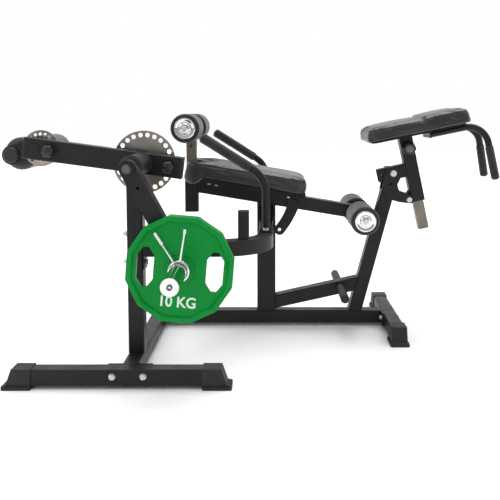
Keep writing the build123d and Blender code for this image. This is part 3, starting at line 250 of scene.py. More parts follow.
def turned_steel(name, colour, rough, centre):
    """Steel with fine rings around an axle that runs along Y."""
    s = Surface(name, metallic=1.0, anisotropic=0.7)
    turning = s.add("ShaderNodeTangent", direction_type="RADIAL", axis="Y")
    s.feed(s.shader.inputs["Tangent"], turning.outputs[0])
    around = s.moved((1, 0, 1), centre)
    length = s.add("ShaderNodeVectorMath", operation="LENGTH")
    s.feed(length.inputs[0], around)
    ring_place = s.add("ShaderNodeCombineXYZ")
    s.feed(ring_place.inputs[0], length.outputs["Value"])
    rings = s.noise(2600, 2, 0.6, ring_place.outputs[0])
    stains = s.spread(s.noise(22, 5), 0.0, 1.0)
    base = s.blend(stains, colour, tuple(channel * 0.7 for channel in colour))
    # Brighter, warmer patches: partly a yellowish passivation tint, partly a painted golden reflection.
    warm_tint_and_painted_reflection = s.spread(s.noise(6, 2), 0.0, 0.8, 0.5, 0.75)
    s.colour(s.blend(warm_tint_and_painted_reflection, base, (colour[0] * 2.2, colour[1] * 1.8, colour[2] * 1.2)))
    s.roughness(s.spread(rings, rough * 0.8, rough * 1.25))
    s.bump(rings, 0.1, 0.0002, 0.0006)
    return s.material


def chrome():
    s = Surface("chrome", metallic=1.0)
    s.colour(s.blend(s.spread(s.noise(30, 4), 0.0, 1.0), (0.78, 0.78, 0.79), (0.66, 0.66, 0.67)))
    s.roughness(s.spread(s.noise(60, 5), 0.05, 0.13))
    s.bump(s.noise(90, 2), 0.05, 0.0005, 0.0005)
    return s.material


def vinyl():
    """Black upholstery vinyl: pebbled grain, with broad softer creasing."""
    s = Surface("vinyl", specular_ior_level=0.55)
    pebbles = s.cells(520)
    creases = s.noise(60, 5, 0.6)
    s.colour(s.blend(s.spread(s.noise(12, 5), 0.0, 1.0), (0.011, 0.011, 0.012), (0.019, 0.019, 0.02)))
    s.roughness(s.spread(creases, 0.27, 0.38))
    height = s.math("ADD", s.math("MULTIPLY", pebbles, 0.6), s.math("MULTIPLY", creases, 0.8))
    s.bump(height, 0.14, 0.0005)
    return s.material


def foam():
    """Closed-cell rubber foam: fine pores and a dusty bloom."""
    s = Surface("foam", specular_ior_level=0.25, sheen_weight=0.34, sheen_roughness=0.5)
    pores = s.cells(650)
    s.colour(s.blend(s.spread(s.noise(18, 6, 0.65), 0.0, 1.0), (0.016, 0.016, 0.016), (0.03, 0.029, 0.028)))
    s.roughness(s.spread(pores, 0.95, 0.75, 0.0, 0.6))
    s.bump(s.math("ADD", pores, s.noise(240, 4)), 0.5, 0.0008)
    return s.material


def moulded(name, dark, pale, rough, grain, strength=0.18, edge=0.0008):
    """Moulded plastic or rubber with a fine spark-eroded grain and scuffed edges."""
    s = Surface(name, specular_ior_level=0.4)
    s.colour(s.blend(s.spread(s.noise(20, 5), 0.0, 1.0), dark, pale))
    s.roughness(s.spread(s.noise(70, 5), rough * 0.85, min(1.0, rough * 1.15)))
    s.bump(s.noise(grain, 3, 0.6), strength, 0.0004, edge)
    return s.material


def green_coat():
    """Green urethane over iron: an even skin with faint flow marks, darker along its edges."""
    s = Surface("plate_green", specular_ior_level=0.13)
    base = s.blend(s.spread(s.noise(11, 5), 0.0, 1.0), (0.0005, 0.215, 0.028), (0.001, 0.255, 0.038))
    s.colour(s.blend(s.spread(s.edges(0.003), 0.0, 0.5, 0.03, 0.5), base, (0.001, 0.12, 0.025)))
    s.roughness(s.spread(s.noise(40, 5), 0.3, 0.44))
    s.bump(s.noise(260, 3), 0.14, 0.0006, 0.0022)
    return s.material


def marking_paint():
    s = Surface("marking_paint", specular_ior_level=0.3)
    s.colour(s.blend(s.spread(s.noise(160, 4), 0.0, 1.0), (0.78, 0.86, 0.8), (0.62, 0.74, 0.66)))
    s.roughness(s.spread(s.noise(90, 3), 0.45, 0.65))
    s.bump(s.noise(500, 3), 0.2, 0.0003)
    return s.material


def dust_cover():
    """The black woven cloth and board under a pad."""
    s = Surface("board", specular_ior_level=0.2)
    across = s.add("ShaderNodeTexWave", bands_direction="X")
    along = s.add("ShaderNodeTexWave", bands_direction="Y")
    for wave in (across, along):
        s.feed(wave.inputs["Vector"], s.place)
        wave.inputs["Scale"].default_value = 170
        wave.inputs["Distortion"].default_value = 0.6
    weave = s.math("MULTIPLY", across.outputs["Fac"], along.outputs["Fac"])
    s.colour(s.blend(s.spread(weave, 0.0, 1.0, 0.0, 1.0), (0.008, 0.008, 0.008), (0.028, 0.027, 0.026)))
    s.roughness(s.spread(s.noise(30, 4), 0.8, 0.95))
    s.bump(weave, 0.4, 0.0005)
    return s.material


pivot_x = -0.418
pivot_z = 0.654
tilt = radians(7.6)


def lever_spot(distance, y):
    """A place along the lever, measured from its pivot towards its roller."""
    return spot(pivot_x - distance * cos(tilt), y, pivot_z + distance * sin(tilt))


pivot = lever_spot(0, 0)
small_pivot = lever_spot(0.345, 0)
surfaces = {
    "frame_paint": powder_coat(),
    "post_steel": steel("post_steel", (0.24, 0.215, 0.19), 0.42, (1, 1, 0.04), 420, (1.0, 0.96, 0.9)),
    "worn_steel": steel("worn_steel", (0.16, 0.14, 0.125), 0.42, (1, 1, 1), 380),
    "disc_steel": turned_steel("disc_steel", (0.27, 0.255, 0.235), 0.3, pivot),
    "chrome": chrome(),
    "bright_bolts": steel("bright_bolts", (0.64, 0.64, 0.63), 0.26, (1, 1, 1), 500, (1.0, 1.0, 0.96)),
    "vinyl": vinyl(),
    "foam": foam(),
    "rubber": moulded("rubber", (0.010, 0.010, 0.010), (0.017, 0.017, 0.017), 0.62, 500),
    "black_plastic": moulded("black_plastic", (0.011, 0.011, 0.012), (0.018, 0.018, 0.019), 0.4, 700),
    "bush_plastic": moulded("bush_plastic", (0.03, 0.03, 0.03), (0.05, 0.05, 0.05), 0.5, 400),
    "board": dust_cover(),
    "plate_green": green_coat(),
    "white_sleeve": moulded("white_sleeve", (0.70, 0.70, 0.68), (0.78, 0.78, 0.76), 0.5, 300, 0.1),
    "marking": marking_paint(),
    "small_disc_steel": turned_steel("small_disc_steel", (0.22, 0.215, 0.205), 0.3, small_pivot),
    "thread": moulded("thread", (0.020, 0.020, 0.021), (0.032, 0.032, 0.033), 0.6, 900, 0.1),
    "knob_cap": moulded("knob_cap", (0.09, 0.11, 0.14), (0.13, 0.15, 0.18), 0.3, 600, 0.08),
}
look_of_node = {
    "small_disc": "small_disc_steel",
    "roller_arm_shaft": "frame_paint",
    "pivot_shaft": "worn_steel",
    "shaft_fasteners": "worn_steel",
}
for name, node in nodes.items():
    node.data.materials.clear()
    node.data.materials.append(surfaces[look_of_node.get(name, slot_of_node[name])])


# ---- Mesh making ----
def add_object(name, parts, body, looks):
    """A piece from (vertices, faces, look number) parts, riding on its body."""
    vertices, faces, look_numbers = [], [], []
    for part_vertices, part_faces, look in parts:
        start = len(vertices)
        vertices += [tuple(v) for v in part_vertices]
        faces += [tuple(start + corner for corner in face) for face in part_faces]
        look_numbers += [look] * len(part_faces)
    mesh = bpy.data.meshes.new(name)
    mesh.from_pydata(vertices, [], faces)
    for look in looks:
        mesh.materials.append(surfaces[look])
    for polygon, look in zip(mesh.polygons, look_numbers):
        polygon.material_index = look
    return finish_object(name, mesh, body)


def finish_object(name, mesh, body, crease=35):
    """Outward normals, smooth shading that breaks at sharp edges, and a body to ride on."""
    work = bmesh.new()
    work.from_mesh(mesh)
    bmesh.ops.remove_doubles(work, verts=work.verts, dist=1e-6)
    bmesh.ops.recalc_face_normals(work, faces=work.faces)
    work.to_mesh(mesh)
    work.free()
    mesh.shade_smooth()
    mesh.set_sharp_from_angle(angle=radians(crease))
    piece = bpy.data.objects.new(name, mesh)
    bpy.context.scene.collection.objects.link(piece)
    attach(piece, body)
    return piece


def axes_along(direction):
    """Two unit vectors across a direction."""
    direction = direction.normalized()
    first = direction.cross(Vector((0, 1, 0)))
    if first.length < 0.1:
        first = direction.cross(Vector((0, 0, 1)))
    first.normalize()
    return first, direction.cross(first).normalized()


def lathe(profile, centre, direction, look=0, steps=64, shape=None):
    """A turned shape: (radius, distance) pairs about an axis. shape(angle, i) scales a ring's radius."""
    direction = direction.normalized()
    first, second = axes_along(direction)
    vertices, faces, rings = [], [], []
    for i, (radius, distance) in enumerate(profile):
        middle = centre + direction * distance
        if radius < 1e-6:
            rings.append([len(vertices)])
            vertices.append(middle)
            continue
        rings.append(list(range(len(vertices), len(vertices) + steps)))
        for step in range(steps):
            angle = 2 * pi * step / steps
            reach = radius * (shape(angle, i) if shape else 1.0)
            vertices.append(middle + (first * cos(angle) + second * sin(angle)) * reach)
    for lower, upper in zip(rings, rings[1:]):
        for step in range(steps):
            after = (step + 1) % steps
            if len(lower) == 1 and len(upper) == 1:
                continue
            if len(lower) == 1:
                faces.append((lower[0], upper[after], upper[step]))
            elif len(upper) == 1:
                faces.append((lower[step], lower[after], upper[0]))
            else:
                faces.append((lower[step], lower[after], upper[after], upper[step]))
    return vertices, faces, look


def tube_along(points, radius, look=0, steps=12, caps=True):
    """A round wire or tube along points. radius is a number or a list, one per point."""
    points = [Vector(p) for p in points]
    radii = radius if isinstance(radius, list) else [radius] * len(points)
    vertices, faces = [], []
    across = None
    last = len(points) - 1
    for i, point in enumerate(points):
        run = (points[min(i + 1, last)] - points[max(i - 1, 0)]).normalized()
        if across is None:
            across = axes_along(run)[0]
        across = (across - run * across.dot(run)).normalized()
        other = run.cross(across)
        for step in range(steps):
            angle = 2 * pi * step / steps
            vertices.append(point + (across * cos(angle) + other * sin(angle)) * radii[i])
    for i in range(last):
        ring, above = i * steps, (i + 1) * steps
        for step in range(steps):
            after = (step + 1) % steps
            faces.append((ring + step, ring + after, above + after, above + step))
    if caps:
        faces.append(tuple(reversed(range(steps))))
        faces.append(tuple(range(last * steps, (last + 1) * steps)))
    return vertices, faces, look


def rounded_tip(radius, depth, steps=6):
    """(radius, distance) pairs of a quarter-round end that closes at distance depth."""
    turns = [pi / 2 * step / steps for step in range(1, steps + 1)]
    return [(radius * cos(turn) if turn < pi / 2 - 1e-6 else 0.0, depth * sin(turn)) for turn in turns]


def hex_head(centre, direction, radius, height, look=0):
    """A hexagon head with a chamfered top over a washer."""
    rim = radius * 1.3
    washer = [(0, 0), (rim, 0), (rim, 0.0012), (radius * 1.2, 0.0016), (0, 0.0016)]
    head = [(radius, 0.001), (radius, height * 0.82), (radius * 0.86, height)]
    head += [(radius * 0.5, height), (0, height)]
    return [lathe(washer, centre, direction, look, 32), lathe(head, centre, direction, look, 6)]


def smooth_path(knots, per_run=10):
    """Points on a Catmull-Rom curve through the knots."""
    knots = [Vector(k) for k in knots]
    knots = [knots[0] * 2 - knots[1]] + knots + [knots[-1] * 2 - knots[-2]]
    points = []
    for a, b, c, d in zip(knots, knots[1:], knots[2:], knots[3:]):
        for step in range(per_run):
            t = step / per_run
            squared = (2 * a - 5 * b + 4 * c - d) * t**2
            cubed = (3 * b - a - 3 * c + d) * t**3
            points.append(0.5 * ((2 * b) + (c - a) * t + squared + cubed))
    return points + [knots[-2]]


# ---- Foam rollers and their axles ----
near = Vector((0, -1, 0))


def rounded_rim(radius, rim, half, steps):
    """(radius, distance) pairs round a roller's first rim, from its end face out to its side."""
    turns = [pi / 2 * step / steps for step in range(steps + 1)]
    return [(radius - rim + rim * sin(turn), -half + rim - rim * cos(turn)) for turn in turns]


def mirrored(profile):
    """The other end of a roller's profile, run through backwards."""
    return [(radius, -distance) for radius, distance in reversed(profile)]


def foam_roller(name, node, body, centre, radius, length, bore, phase):
    """A moulded foam roller about a Y axis: rounded rims, a slight waist and hand-cut end faces."""
    rim = 0.009
    half = length / 2
    hollow = 0.0012
    mouth = (bore, -half + 0.002)
    end = [mouth, (bore + 0.004, -half + hollow), (bore + (radius - bore) * 0.5, -half + hollow * 0.6)]
    end += rounded_rim(radius, rim, half, 6)
    side = []
    count = 24
    for step in range(1, count):
        along = step / count
        waist = -0.0006 * sin(pi * along)
        side.append((radius + waist, -half + rim + (length - 2 * rim) * along))
    profile = end + side + mirrored(end) + [(bore, 0), mouth]

    def shape(angle, i):
        return 1 + 0.0045 * noise.noise(Vector((1.6 * cos(angle), 1.6 * sin(angle), phase + 0.22 * i)))

    piece = add_object(name, [lathe(profile, centre, near, 0, 96, shape)], body, ["foam"])
    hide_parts(node)
    return piece


# (radius, distance) pairs of a roller's chrome cap: a rolled rim, a shallow dish and a raised hub
cap_dish = [
    (0.0, 0.0), (0.033, 0.0), (0.037, 0.0006), (0.0378, 0.0020), (0.0370, 0.0036), (0.0350, 0.0043),
    (0.0325, 0.0042), (0.0295, 0.0033), (0.0260, 0.0024), (0.0225, 0.0022), (0.0200, 0.0028),
    (0.0180, 0.0044), (0.0168, 0.0060), (0.0158, 0.0066), (0.0145, 0.0068), (0.0, 0.0068),
]


def roller_axle(name, node, body, middle):
    """An axle bar with a dished chrome cap, hub and hex bolt at both ends."""
    bar_r = 0.0127
    half = 0.2124
    hub_face = cap_dish[-1][1]
    parts = [lathe([(0, -half), (bar_r, -half), (bar_r, half), (0, half)], middle, near, 1, 40)]
    for side in (-1, 1):
        outward = near * side
        face = middle + outward * half
        parts.append(lathe(cap_dish, face, outward, 0, 72))
        parts += hex_head(face + outward * hub_face, outward, 0.0085, 0.0052, 2)
    piece = add_object(name, parts, body, ["chrome", "frame_paint", "bright_bolts"])
    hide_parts(node)
    return piece


thigh_x = -0.2975
lower_middle = spot(0.337, 0, 0.435)
thigh_middle = spot(thigh_x, 0, 0.762)
roller_offset = 0.1285
roller_r = 0.051
roller_bore = 0.0129
roller_length = 0.167
for middle, body, name in ((lower_middle, "frame", "lower"), (thigh_middle, "thigh_post", "thigh")):
    roller_axle(name + "_axle_and_caps", name + "_axle", body, middle)
    for side, word in ((1, "near"), (-1, "far")):
        centre = middle + near * side * roller_offset
        node = name + "_roller_" + word
        phase = side * 3.0 + len(name)
        foam_roller(node + "_foam", node, node, centre, roller_r, roller_length, roller_bore, phase)


def ankle_roller():
    """The long ankle roller: a vinyl sleeve over foam, gathered into pleats at both ends."""
    centre = spot(-0.874, 0, 0.674)
    radius, half, bore, rim = 0.0577, 0.2095, 0.0245, 0.016
    end = [(bore, -half + 0.008), (bore + 0.003, -half + 0.004), (bore + 0.007, -half + 0.0012)]
    end += [(0.036, -half + 0.0002), (0.041, -half + 0.0001)] + rounded_rim(radius, rim, half, 8)
    side = []
    count = 30
    for step in range(1, count):
        along = step / count
        side.append((radius - 0.0005 * sin(pi * along), -half + rim + 2 * (half - rim) * along))
    profile = end + side + mirrored(end) + [(bore, 0.0), end[0]]
    last_of_end = len(profile) - 3
    pleated = 13

    def shape(angle, i):
        place = min(i, last_of_end - i)
        pleat = 0.0
        if 0 < place < pleated:
            fade = sin(pi * min(place, 12) / pleated)
            pleat = 0.021 * fade * (sin(26 * angle + 0.8 * sin(3 * angle)) - 0.2)
        return 1 + pleat + 0.003 * noise.noise(Vector((1.5 * cos(angle), 1.5 * sin(angle), 0.15 * i)))

    parts = [lathe(profile, centre, near, 0, 208, shape)]
    piece = add_object("ankle_roller_sleeve", parts, "ankle_roller", ["vinyl"])
    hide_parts("ankle_roller")


ankle_roller()


# ---- Foam grips ----
def foam_grip(start, run, length, radius, inner):
    """A ribbed foam grip: a rolled mouth where the tube goes in and a rounded tip."""
    profile = [(inner, 0.004), (inner, 0.0), (radius - 0.002, 0.0), (radius, 0.002)]
    count = 44
    tip = 0.011
    for step in range(1, count):
        along = 0.002 + (length - tip - 0.002) * step / count
        profile.append((radius - 0.00035 * (step % 2), along))
    profile.append((radius, length - tip))
    profile += [(r, length - tip + d) for r, d in rounded_tip(radius, tip)]
    return lathe(profile, start, run, 0, 48)


def add_grips(name, node, body, places, length, radius, inner):
    parts = [foam_grip(start, run, length, radius, inner) for start, run in places]
    piece = add_object(name, parts, body, ["foam"])
    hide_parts(node)


grip_rise = radians(32.3)
grip_run = Vector((-cos(grip_rise), 0, sin(grip_rise)))
seat_grip_places = [(spot(-0.066, side * 0.285, 0.630), grip_run) for side in (-1, 1)]
add_grips("handle_foam_grips", "handle_grips", "frame", seat_grip_places, 0.200, 0.0175, 0.0141)

pad_slope = radians(11.7)
pad_lean = radians(12.4)
pad_corner = spot(0.356, 0, 0.7072)
pad_along = Vector((cos(pad_slope), 0, sin(pad_slope)))
pad_up = Vector((-sin(pad_slope), 0, cos(pad_slope)))
handle_corner = pad_corner + pad_along * 0.448 - pad_up * 0.0205
pad_grip_places = []
for side in (-1, 1):
    corner = Vector((handle_corner.x, side * 0.047 + shift_y, handle_corner.z))
    tip = spot(0.838, side * 0.068, 0.576)
    run = (tip - corner).normalized()
    pad_grip_places.append((tip - run * 0.118, run))
add_grips("pad_foam_grips", "pad_grips", "pad_post", pad_grip_places, 0.126, 0.0155, 0.0126)


# ---- Pull pins ----
def pull_pin(name, node, face, outward, reach, knob_r, domed=False):
    """A steel plunger with a lobed moulded knob; face is on the outside of the wall it goes through.

    The knob and its cap are given as (share of knob_r, height over the knob's foot) pairs.
    """
    first = 0.0124
    rod_r = 0.005
    rod_end = first + 0.002
    rod = [(0, -reach), (rod_r - 0.001, -reach), (rod_r, -reach + 0.001), (rod_r, rod_end), (0, rod_end)]
    knob = [(0.0, 0.0), (0.62, 0.0), (0.74, 0.0012), (0.92, 0.004), (0.985, 0.007), (1.0, 0.010)]
    knob += [(0.985, 0.014), (0.92, 0.0175), (0.8, 0.0198), (0.62, 0.0205)]
    rim = len(knob)
    if domed:
        knob += [(0.56, 0.0200)]
    else:
        knob += [(0.5, 0.0215), (0.25, 0.0228), (0.0, 0.0232)]
    profile = [(knob_r * share, first + height) for share, height in knob]

    def lobes(angle, i):
        depth = 0.0 if i in (0, 1) or i >= rim - 1 else 0.1
        return 1 - depth * (0.5 - 0.5 * cos(6 * angle)) ** 1.5

    parts = [lathe(rod, face, outward, 1, 32), lathe(profile, face, outward, 0, 96, lobes)]
    if domed:
        cap = [(0.57, 0.0195), (0.56, 0.0215), (0.48, 0.0228), (0.3, 0.0238), (0.0, 0.0242)]
        dome = [(knob_r * share, first + height) for share, height in cap]
        parts.append(lathe(dome, face, outward, 2, 48))
    piece = add_object(name, parts, node, ["black_plastic", "bright_bolts", "knob_cap"])
    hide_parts(node)


lever_near_y = -0.390
sleeve_foot = spot(0.564, 0, 0.484)
sleeve_up = Vector((-sin(pad_lean), 0, cos(pad_lean)))
lever_pins = (("lever_pull_pin", "lever_pin", -0.090), ("roller_arm_pull_pin", "roller_arm_pin", 0.2975))
for name, node, distance in lever_pins:
    pull_pin(name, node, lever_spot(distance, lever_near_y), near, 0.0586, 0.0196)
pull_pin("thigh_pull_pin", "thigh_pin", spot(thigh_x, 0.025, 0.515), -near, 0.0056, 0.0188)
pad_pin_face = sleeve_foot + sleeve_up * 0.204 + near * 0.025
pull_pin("pad_pull_pin", "pad_pin", pad_pin_face, near, 0.0056, 0.0262, domed=True)


# ---- Spring collar on the weight horn ----
horn_x = -0.262
horn_z = 0.363


def spring_collar():
    """A sprung wire collar: a tight coil of round wire whose ends bend out into two squeeze arms."""
    axis = spot(horn_x, -0.650, horn_z)
    wire, pitch = 0.0034, 0.0066
    radius = 0.0254 + wire
    first_arm = (-0.069, 0.108)
    last_arm = (0.020, 0.121)
    start_angle = atan2(first_arm[1], first_arm[0])
    end_angle = atan2(last_arm[1], last_arm[0])
    sweep = 2 * pi * 3 - (start_angle - end_angle)

    def at(angle, reach, depth):
        return axis + Vector((cos(angle) * reach, -depth, sin(angle) * reach))

    first_depth = 0.0004 + wire
    trim = 0.28
    coil = []
    count = 150
    for step in range(count + 1):
        turned = trim + (sweep - 2 * trim) * step / count
        depth = first_depth + pitch * turned / (2 * pi)
        coil.append(at(start_angle + turned, radius, depth))
    last_depth = first_depth + pitch * (sweep - trim) / (2 * pi)
    first_tip = axis + Vector((first_arm[0], -first_depth, first_arm[1]))
    last_tip = axis + Vector((last_arm[0], -last_depth, last_arm[1]))
    out_first = (first_tip - at(start_angle, 0, first_depth)).normalized()
    out_last = (last_tip - at(end_angle, 0, last_depth)).normalized()
    bend, bend_reach, arm_reach = 0.06, radius + 0.0025, radius + 0.009
    into_coil = [at(start_angle, arm_reach, first_depth), at(start_angle + bend, bend_reach, first_depth)]
    out_of_coil = [at(end_angle - bend, bend_reach, last_depth), at(end_angle, arm_reach, last_depth)]
    lead = smooth_path(into_coil + [coil[0]], 5)
    trail = smooth_path([coil[-1]] + out_of_coil, 5)
    path = [first_tip, lead[0] + (first_tip - lead[0]) * 0.5] + lead[:-1] + coil
    path += trail[1:] + [trail[-1] + (last_tip - trail[-1]) * 0.5, last_tip]
    radii = [0.0026 if (p - axis).length > 0.05 else wire for p in path]
    parts = [tube_along(path, radii, 0, 14)]
    for tip, out, length in ((first_tip, out_first, 0.040), (last_tip, out_last, 0.013)):
        profile = [(0.0026, 0.0), (0.0040, 0.0), (0.0043, 0.0010), (0.0043, length - 0.003)]
        profile += [(r, length - 0.003 + d) for r, d in rounded_tip(0.0043, 0.004)]
        parts.append(lathe(profile, tip + out * (0.0015 - length), out, 1, 24))
    piece = add_object("spring_collar_wire", parts, "spring_collar", ["chrome", "white_sleeve"])
    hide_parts("spring_collar", "collar_sleeves")


spring_collar()


# ---- Weight numerals ----
def plate_marking():
    """Raised weight figures on the plate's web, below the hub."""
    turn = radians(5)
    middle = spot(horn_x, -0.643, horn_z)
    right = Vector((cos(turn), 0, -sin(turn)))
    up = Vector((sin(turn), 0, cos(turn)))
    text = bpy.data.curves.new("figures", "FONT")
    text.body = "10 KG"
    text.size = 0.044
    text.extrude = 0.0007
    text.bevel_depth = 0.0003
    text.offset = 0.0006
    text.align_x = "CENTER"
    text.align_y = "CENTER"
    holder = bpy.data.objects.new("figures", text)
    bpy.context.scene.collection.objects.link(holder)
    bpy.context.view_layer.update()
    mesh = bpy.data.meshes.new_from_object(holder.evaluated_get(bpy.context.evaluated_depsgraph_get()))
    bpy.data.objects.remove(holder)
    place = middle - up * 0.097
    for vertex in mesh.vertices:
        x, y, z = vertex.co
        vertex.co = place + right * x * 0.95 + up * y + near * (z + 0.0006)
    mesh.materials.clear()
    mesh.materials.append(surfaces["marking"])
    finish_object("plate_figures", mesh, "weight_plate", 50)


plate_marking()


# ---- Cushions: u runs along the pad, v across it and w up from its flat base ----
def arc_points(u, v, radius, start, end, steps=8):
    """Points round part of a circle about (u, v), between two angles in degrees."""
    turns = [radians(start + (end - start) * step / steps) for step in range(steps + 1)]
    return [(u + radius * cos(turn), v + radius * sin(turn)) for turn in turns]


def closed_prism(outline, low, high, place):
    """An object between two copies of an outline; place(a, b, height) gives each point."""
    count = len(outline)
    vertices = [place(a, b, low) for a, b in outline] + [place(a, b, high) for a, b in outline]
    faces = [tuple(range(count)), tuple(range(2 * count - 1, count - 1, -1))]
    faces += [(i, (i + 1) % count, count + (i + 1) % count, count + i) for i in range(count)]
    mesh = bpy.data.meshes.new("prism")
    mesh.from_pydata(vertices, [], faces)
    work = bmesh.new()
    work.from_mesh(mesh)
    bmesh.ops.recalc_face_normals(work, faces=work.faces)
    work.to_mesh(mesh)
    work.free()
    prism = bpy.data.objects.new("prism", mesh)
    bpy.context.scene.collection.objects.link(prism)
    return prism


def evaluated_mesh(piece):
    """The piece's mesh with its modifiers applied."""
    graph = bpy.context.evaluated_depsgraph_get()
    return bpy.data.meshes.new_from_object(piece.evaluated_get(graph))


def smooth_skin(outline, profile, half_width, rounds):
    """A cushion's closed skin where its plan and its side profile meet, with softened edges."""
    body = closed_prism(outline, -0.06, 0.12, lambda a, b, h: (a, b, h))
    side = closed_prism(profile, -half_width, half_width, lambda a, b, h: (a, h, b))
    meet = body.modifiers.new("meet", "BOOLEAN")
    meet.operation = "INTERSECT"
    meet.solver = "EXACT"
    meet.object = side
    remesh = body.modifiers.new("remesh", "REMESH")
    remesh.mode = "VOXEL"
    remesh.voxel_size = 0.005
    soften = body.modifiers.new("soften", "SMOOTH")
    soften.factor = 0.5
    soften.iterations = rounds
    mesh = evaluated_mesh(body)
    bpy.data.objects.remove(side)
    bpy.data.objects.remove(body)
    return mesh


def blown_up(mesh, base_height, cap):
    """The skin as cloth under pressure from its foam, held along its base; no point moves beyond cap."""
    scene = bpy.context.scene
    start = [vertex.co.copy() for vertex in mesh.vertices]
    piece = bpy.data.objects.new("cloth", mesh)
    scene.collection.objects.link(piece)
    held = piece.vertex_groups.new(name="held")
    held.add([vertex.index for vertex in mesh.vertices if vertex.co.z < base_height], 1.0, "REPLACE")
    cloth = piece.modifiers.new("cloth", "CLOTH")
    cloth.settings.use_pressure = True
    cloth.settings.uniform_pressure_force = 4.0
    cloth.settings.effector_weights.gravity = 0.0
    cloth.settings.vertex_group_mass = "held"
    frames = 20
    for number in range(1, frames + 1):
        scene.frame_set(number)
    swollen = evaluated_mesh(piece)
    bpy.data.objects.remove(piece)
    scene.frame_set(1)
    for vertex, place in zip(swollen.vertices, start):
        move = vertex.co - place
        if move.length > cap:
            vertex.co = place + move * (cap / move.length)
    return swollen


def finer(mesh):
    """The skin pulled taut, so that only its broad swells stay, with one level of subdivision."""
    piece = bpy.data.objects.new("finer", mesh)
    bpy.context.scene.collection.objects.link(piece)
    taut = piece.modifiers.new("taut", "SMOOTH")
    taut.factor = 0.5
    taut.iterations = 7
    level = piece.modifiers.new("level", "SUBSURF")
    level.levels = 1
    fine = evaluated_mesh(piece)
    bpy.data.objects.remove(piece)
    return fine


def ramp(value, low, high):
    """0 below low, 1 above high and smooth between."""
    share = min(1.0, max(0.0, (value - low) / (high - low)))
    return share * share * (3 - 2 * share)


def bell(value, width):
    """1 where value is 0, falling away smoothly on both sides."""
    return exp(-((value / width) ** 2))


def seam_path(outline, seam_height, tree, lift):
    """The boxing seam: outline points carried in onto the skin at the seam's height."""
    points = []
    count = len(outline)
    for i in range(count):
        a, b = Vector(outline[i]), Vector(outline[(i + 1) % count])
        outward = Vector((b.y - a.y, a.x - b.x))
        if outward.length < 1e-6:
            continue
        outward.normalize()
        steps = max(1, round((b - a).length / 0.004))
        for step in range(steps):
            u, v = a.lerp(b, step / steps)
            height = seam_height(u)
            far = Vector((u + outward.x * 0.02, v + outward.y * 0.02, height))
            hit = tree.ray_cast(far, Vector((-outward.x, -outward.y, 0)), 0.06)
            if hit[0] is not None:
                points.append(hit[0] + hit[1] * lift)
    return points


def stitches_along(points, spacing, length, above, look):
    """A row of short threads beside a seam, set above it by a small step."""
    parts = []
    run_so_far = 0.0
    for a, b, c in zip(points, points[1:], points[2:]):
        run_so_far += (b - a).length
        if run_so_far < spacing:
            continue
        run_so_far = 0.0
        along = (c - a).normalized() * length / 2
        middle = b + Vector((0, 0, above))
        bow = Vector((0, 0, 0.0002))
        parts.append(tube_along([middle - along, middle + bow, middle + along], 0.0004, look, 6))
    return parts


def cushion(name, node, body, bed, outline, profile, half_width, seam_height, shape_more, crease=None):
    """A sewn vinyl cushion on its bed: blown up, subdivided, then seamed and stitched.

    seam_height gives the boxing seam's height at u, shape_more the depth of any other sewn hollow and
    crease the place of a seam across the top.
    """
    skin = finer(blown_up(smooth_skin(outline, profile, half_width, 5), 0.003, 0.008))
    surface = [(vertex.co.copy(), vertex.normal.copy()) for vertex in skin.vertices]
    for vertex, (place, normal) in zip(skin.vertices, surface):
        off_base = ramp(place.z, 0.002, 0.012) if place.z > -0.001 else ramp(-place.z, 0.003, 0.012)
        from_seam = place.z - seam_height(place.x)
        depth = 0.0018 * bell(from_seam, 0.0030)
        broad = noise.noise(place * 14) * 0.0007
        pucker = noise.noise(Vector((place.x * 90, place.y * 90, 4))) * 0.0007
        pucker *= bell(from_seam, 0.012)
        depth += shape_more(place)
        vertex.co = place + normal * ((broad + pucker) * off_base - depth * off_base)
        if place.z > -0.001 and vertex.co.z < 0.0004:
            vertex.co.z = 0.0004
    skin.materials.clear()
    for look in ("vinyl", "thread"):
        skin.materials.append(surfaces[look])
    tree = BVHTree.FromPolygons([v.co for v in skin.vertices], [tuple(p.vertices) for p in skin.polygons])
    path = seam_path(outline, seam_height, tree, -0.0002)
    threads = [tube_along(path + path[:2], 0.0009, 0, 8, False)]
    threads += stitches_along(path, 0.0062, 0.0034, 0.0036, 1)
    if crease is not None:
        across = []
        for step in range(61):
            v = (2 * step / 60 - 1) * (half_width - 0.02)
            hit = tree.ray_cast(Vector((crease, v, 0.12)), Vector((0, 0, -1)))
            if hit[0] is not None:
                across.append(hit[0] + hit[1] * 0.0001)
        threads.append(tube_along(across, 0.0009, 0, 8))
    skin.transform(bed)
    piece = finish_object(name, skin, body, 80)
    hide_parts(node)
    threads = [([bed @ point for point in vertices], faces, look) for vertices, faces, look in threads]
    add_object(name + "_seams", threads, body, ["vinyl", "thread"])


def bed_at(corner, slope):
    """The frame of a sloping bed: corner is its origin, slope its rise towards +X."""
    return Matrix.Translation(corner) @ Matrix.Rotation(-slope, 4, "Y")


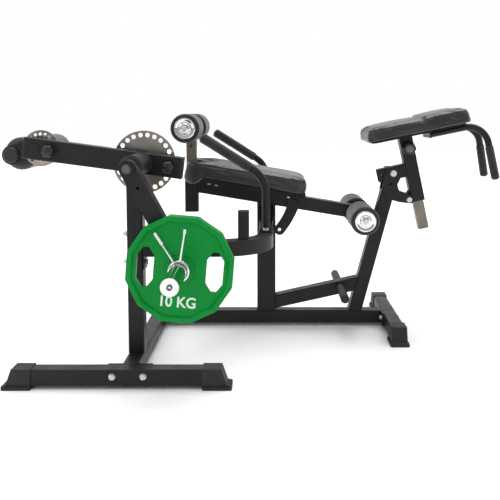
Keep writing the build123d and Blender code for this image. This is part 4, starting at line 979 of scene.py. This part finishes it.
def seat_cushion():
    slope = radians(9.5)
    rail_top = 0.515 - 0.271 * tan(slope) + 0.050 / cos(slope)
    board_top = 0.019
    corner = spot(0, 0, rail_top) + Vector((sin(slope), 0, cos(slope))) * board_top
    left, right, half = -0.3235, 0.1350, 0.1385
    round_r, notch_r, lip_r = 0.050, 0.040, 0.018
    notch, notch_end = 0.0525, -0.2295
    outline = arc_points(right - round_r, round_r - half, round_r, -90, 0)
    outline += arc_points(right - round_r, half - round_r, round_r, 0, 90)
    outline += arc_points(left + round_r, half - round_r, round_r, 90, 180)
    outline += arc_points(left + lip_r, notch + lip_r, lip_r, 180, 270)
    outline += arc_points(notch_end - notch_r, notch - notch_r, notch_r, 90, 0)
    outline += arc_points(notch_end - notch_r, notch_r - notch, notch_r, 0, -90)
    outline += arc_points(left + lip_r, -notch - lip_r, lip_r, 90, 180)
    outline += arc_points(left + round_r, round_r - half, round_r, 180, 270)
    profile = [(-0.3215, 0.049), (-0.330, 0.036), (-0.330, -0.006), (-0.318, -0.020), (-0.300, -0.0275)]
    profile += [(-0.282, -0.0275), (-0.268, -0.021), (-0.258, -0.010), (-0.2525, 0.0), (0.124, 0.0)]
    profile += [(0.131, 0.018), (0.138, 0.045), (0.128, 0.053)]
    profile += [(0.020, 0.0555), (-0.140, 0.0555), (-0.290, 0.053)]

    def seam_height(_):
        return 0.0455

    def dart(place):
        flank = ramp(abs(place.y), 0.10, 0.13)
        return 0.0026 * flank * bell(place.x + 0.247, 0.013) * (1 - ramp(place.z, 0.02, 0.044))

    bed = bed_at(corner, -slope)
    cushion("seat_cushion", "seat_pad", "frame", bed, outline, profile, 0.16, seam_height, dart)


def chest_cushion():
    length, half, round_r, crease = 0.389, 0.1325, 0.036, 0.213
    start, end = 0.0025, length - 0.0025
    outline = arc_points(end - round_r, round_r - half, round_r, -90, 0)
    outline += arc_points(end - round_r, half - round_r, round_r, 0, 90)
    outline += arc_points(start + round_r, half - round_r, round_r, 90, 180)
    outline += arc_points(start + round_r, round_r - half, round_r, 180, 270)
    profile = [(-0.004, 0.0), (0.394, 0.0), (0.394, 0.045), (0.385, 0.049), (0.300, 0.0515), (0.222, 0.049)]
    profile += [(0.206, 0.0445), (0.120, 0.0455), (0.010, 0.043), (-0.004, 0.038)]

    def seam_height(u):
        return 0.0365 + 0.0045 * ramp(u, crease - 0.02, crease + 0.02)

    def sewn_channel(place):
        return 0.0045 * bell(place.x - crease, 0.0065) * ramp(place.z, 0.022, 0.038)

    bed = bed_at(pad_corner, pad_slope)
    sewing = (seam_height, sewn_channel, crease)
    cushion("chest_cushion", "chest_pad", "pad_post", bed, outline, profile, 0.15, *sewing)


seat_cushion()
chest_cushion()


add_camera()
add_surroundings()
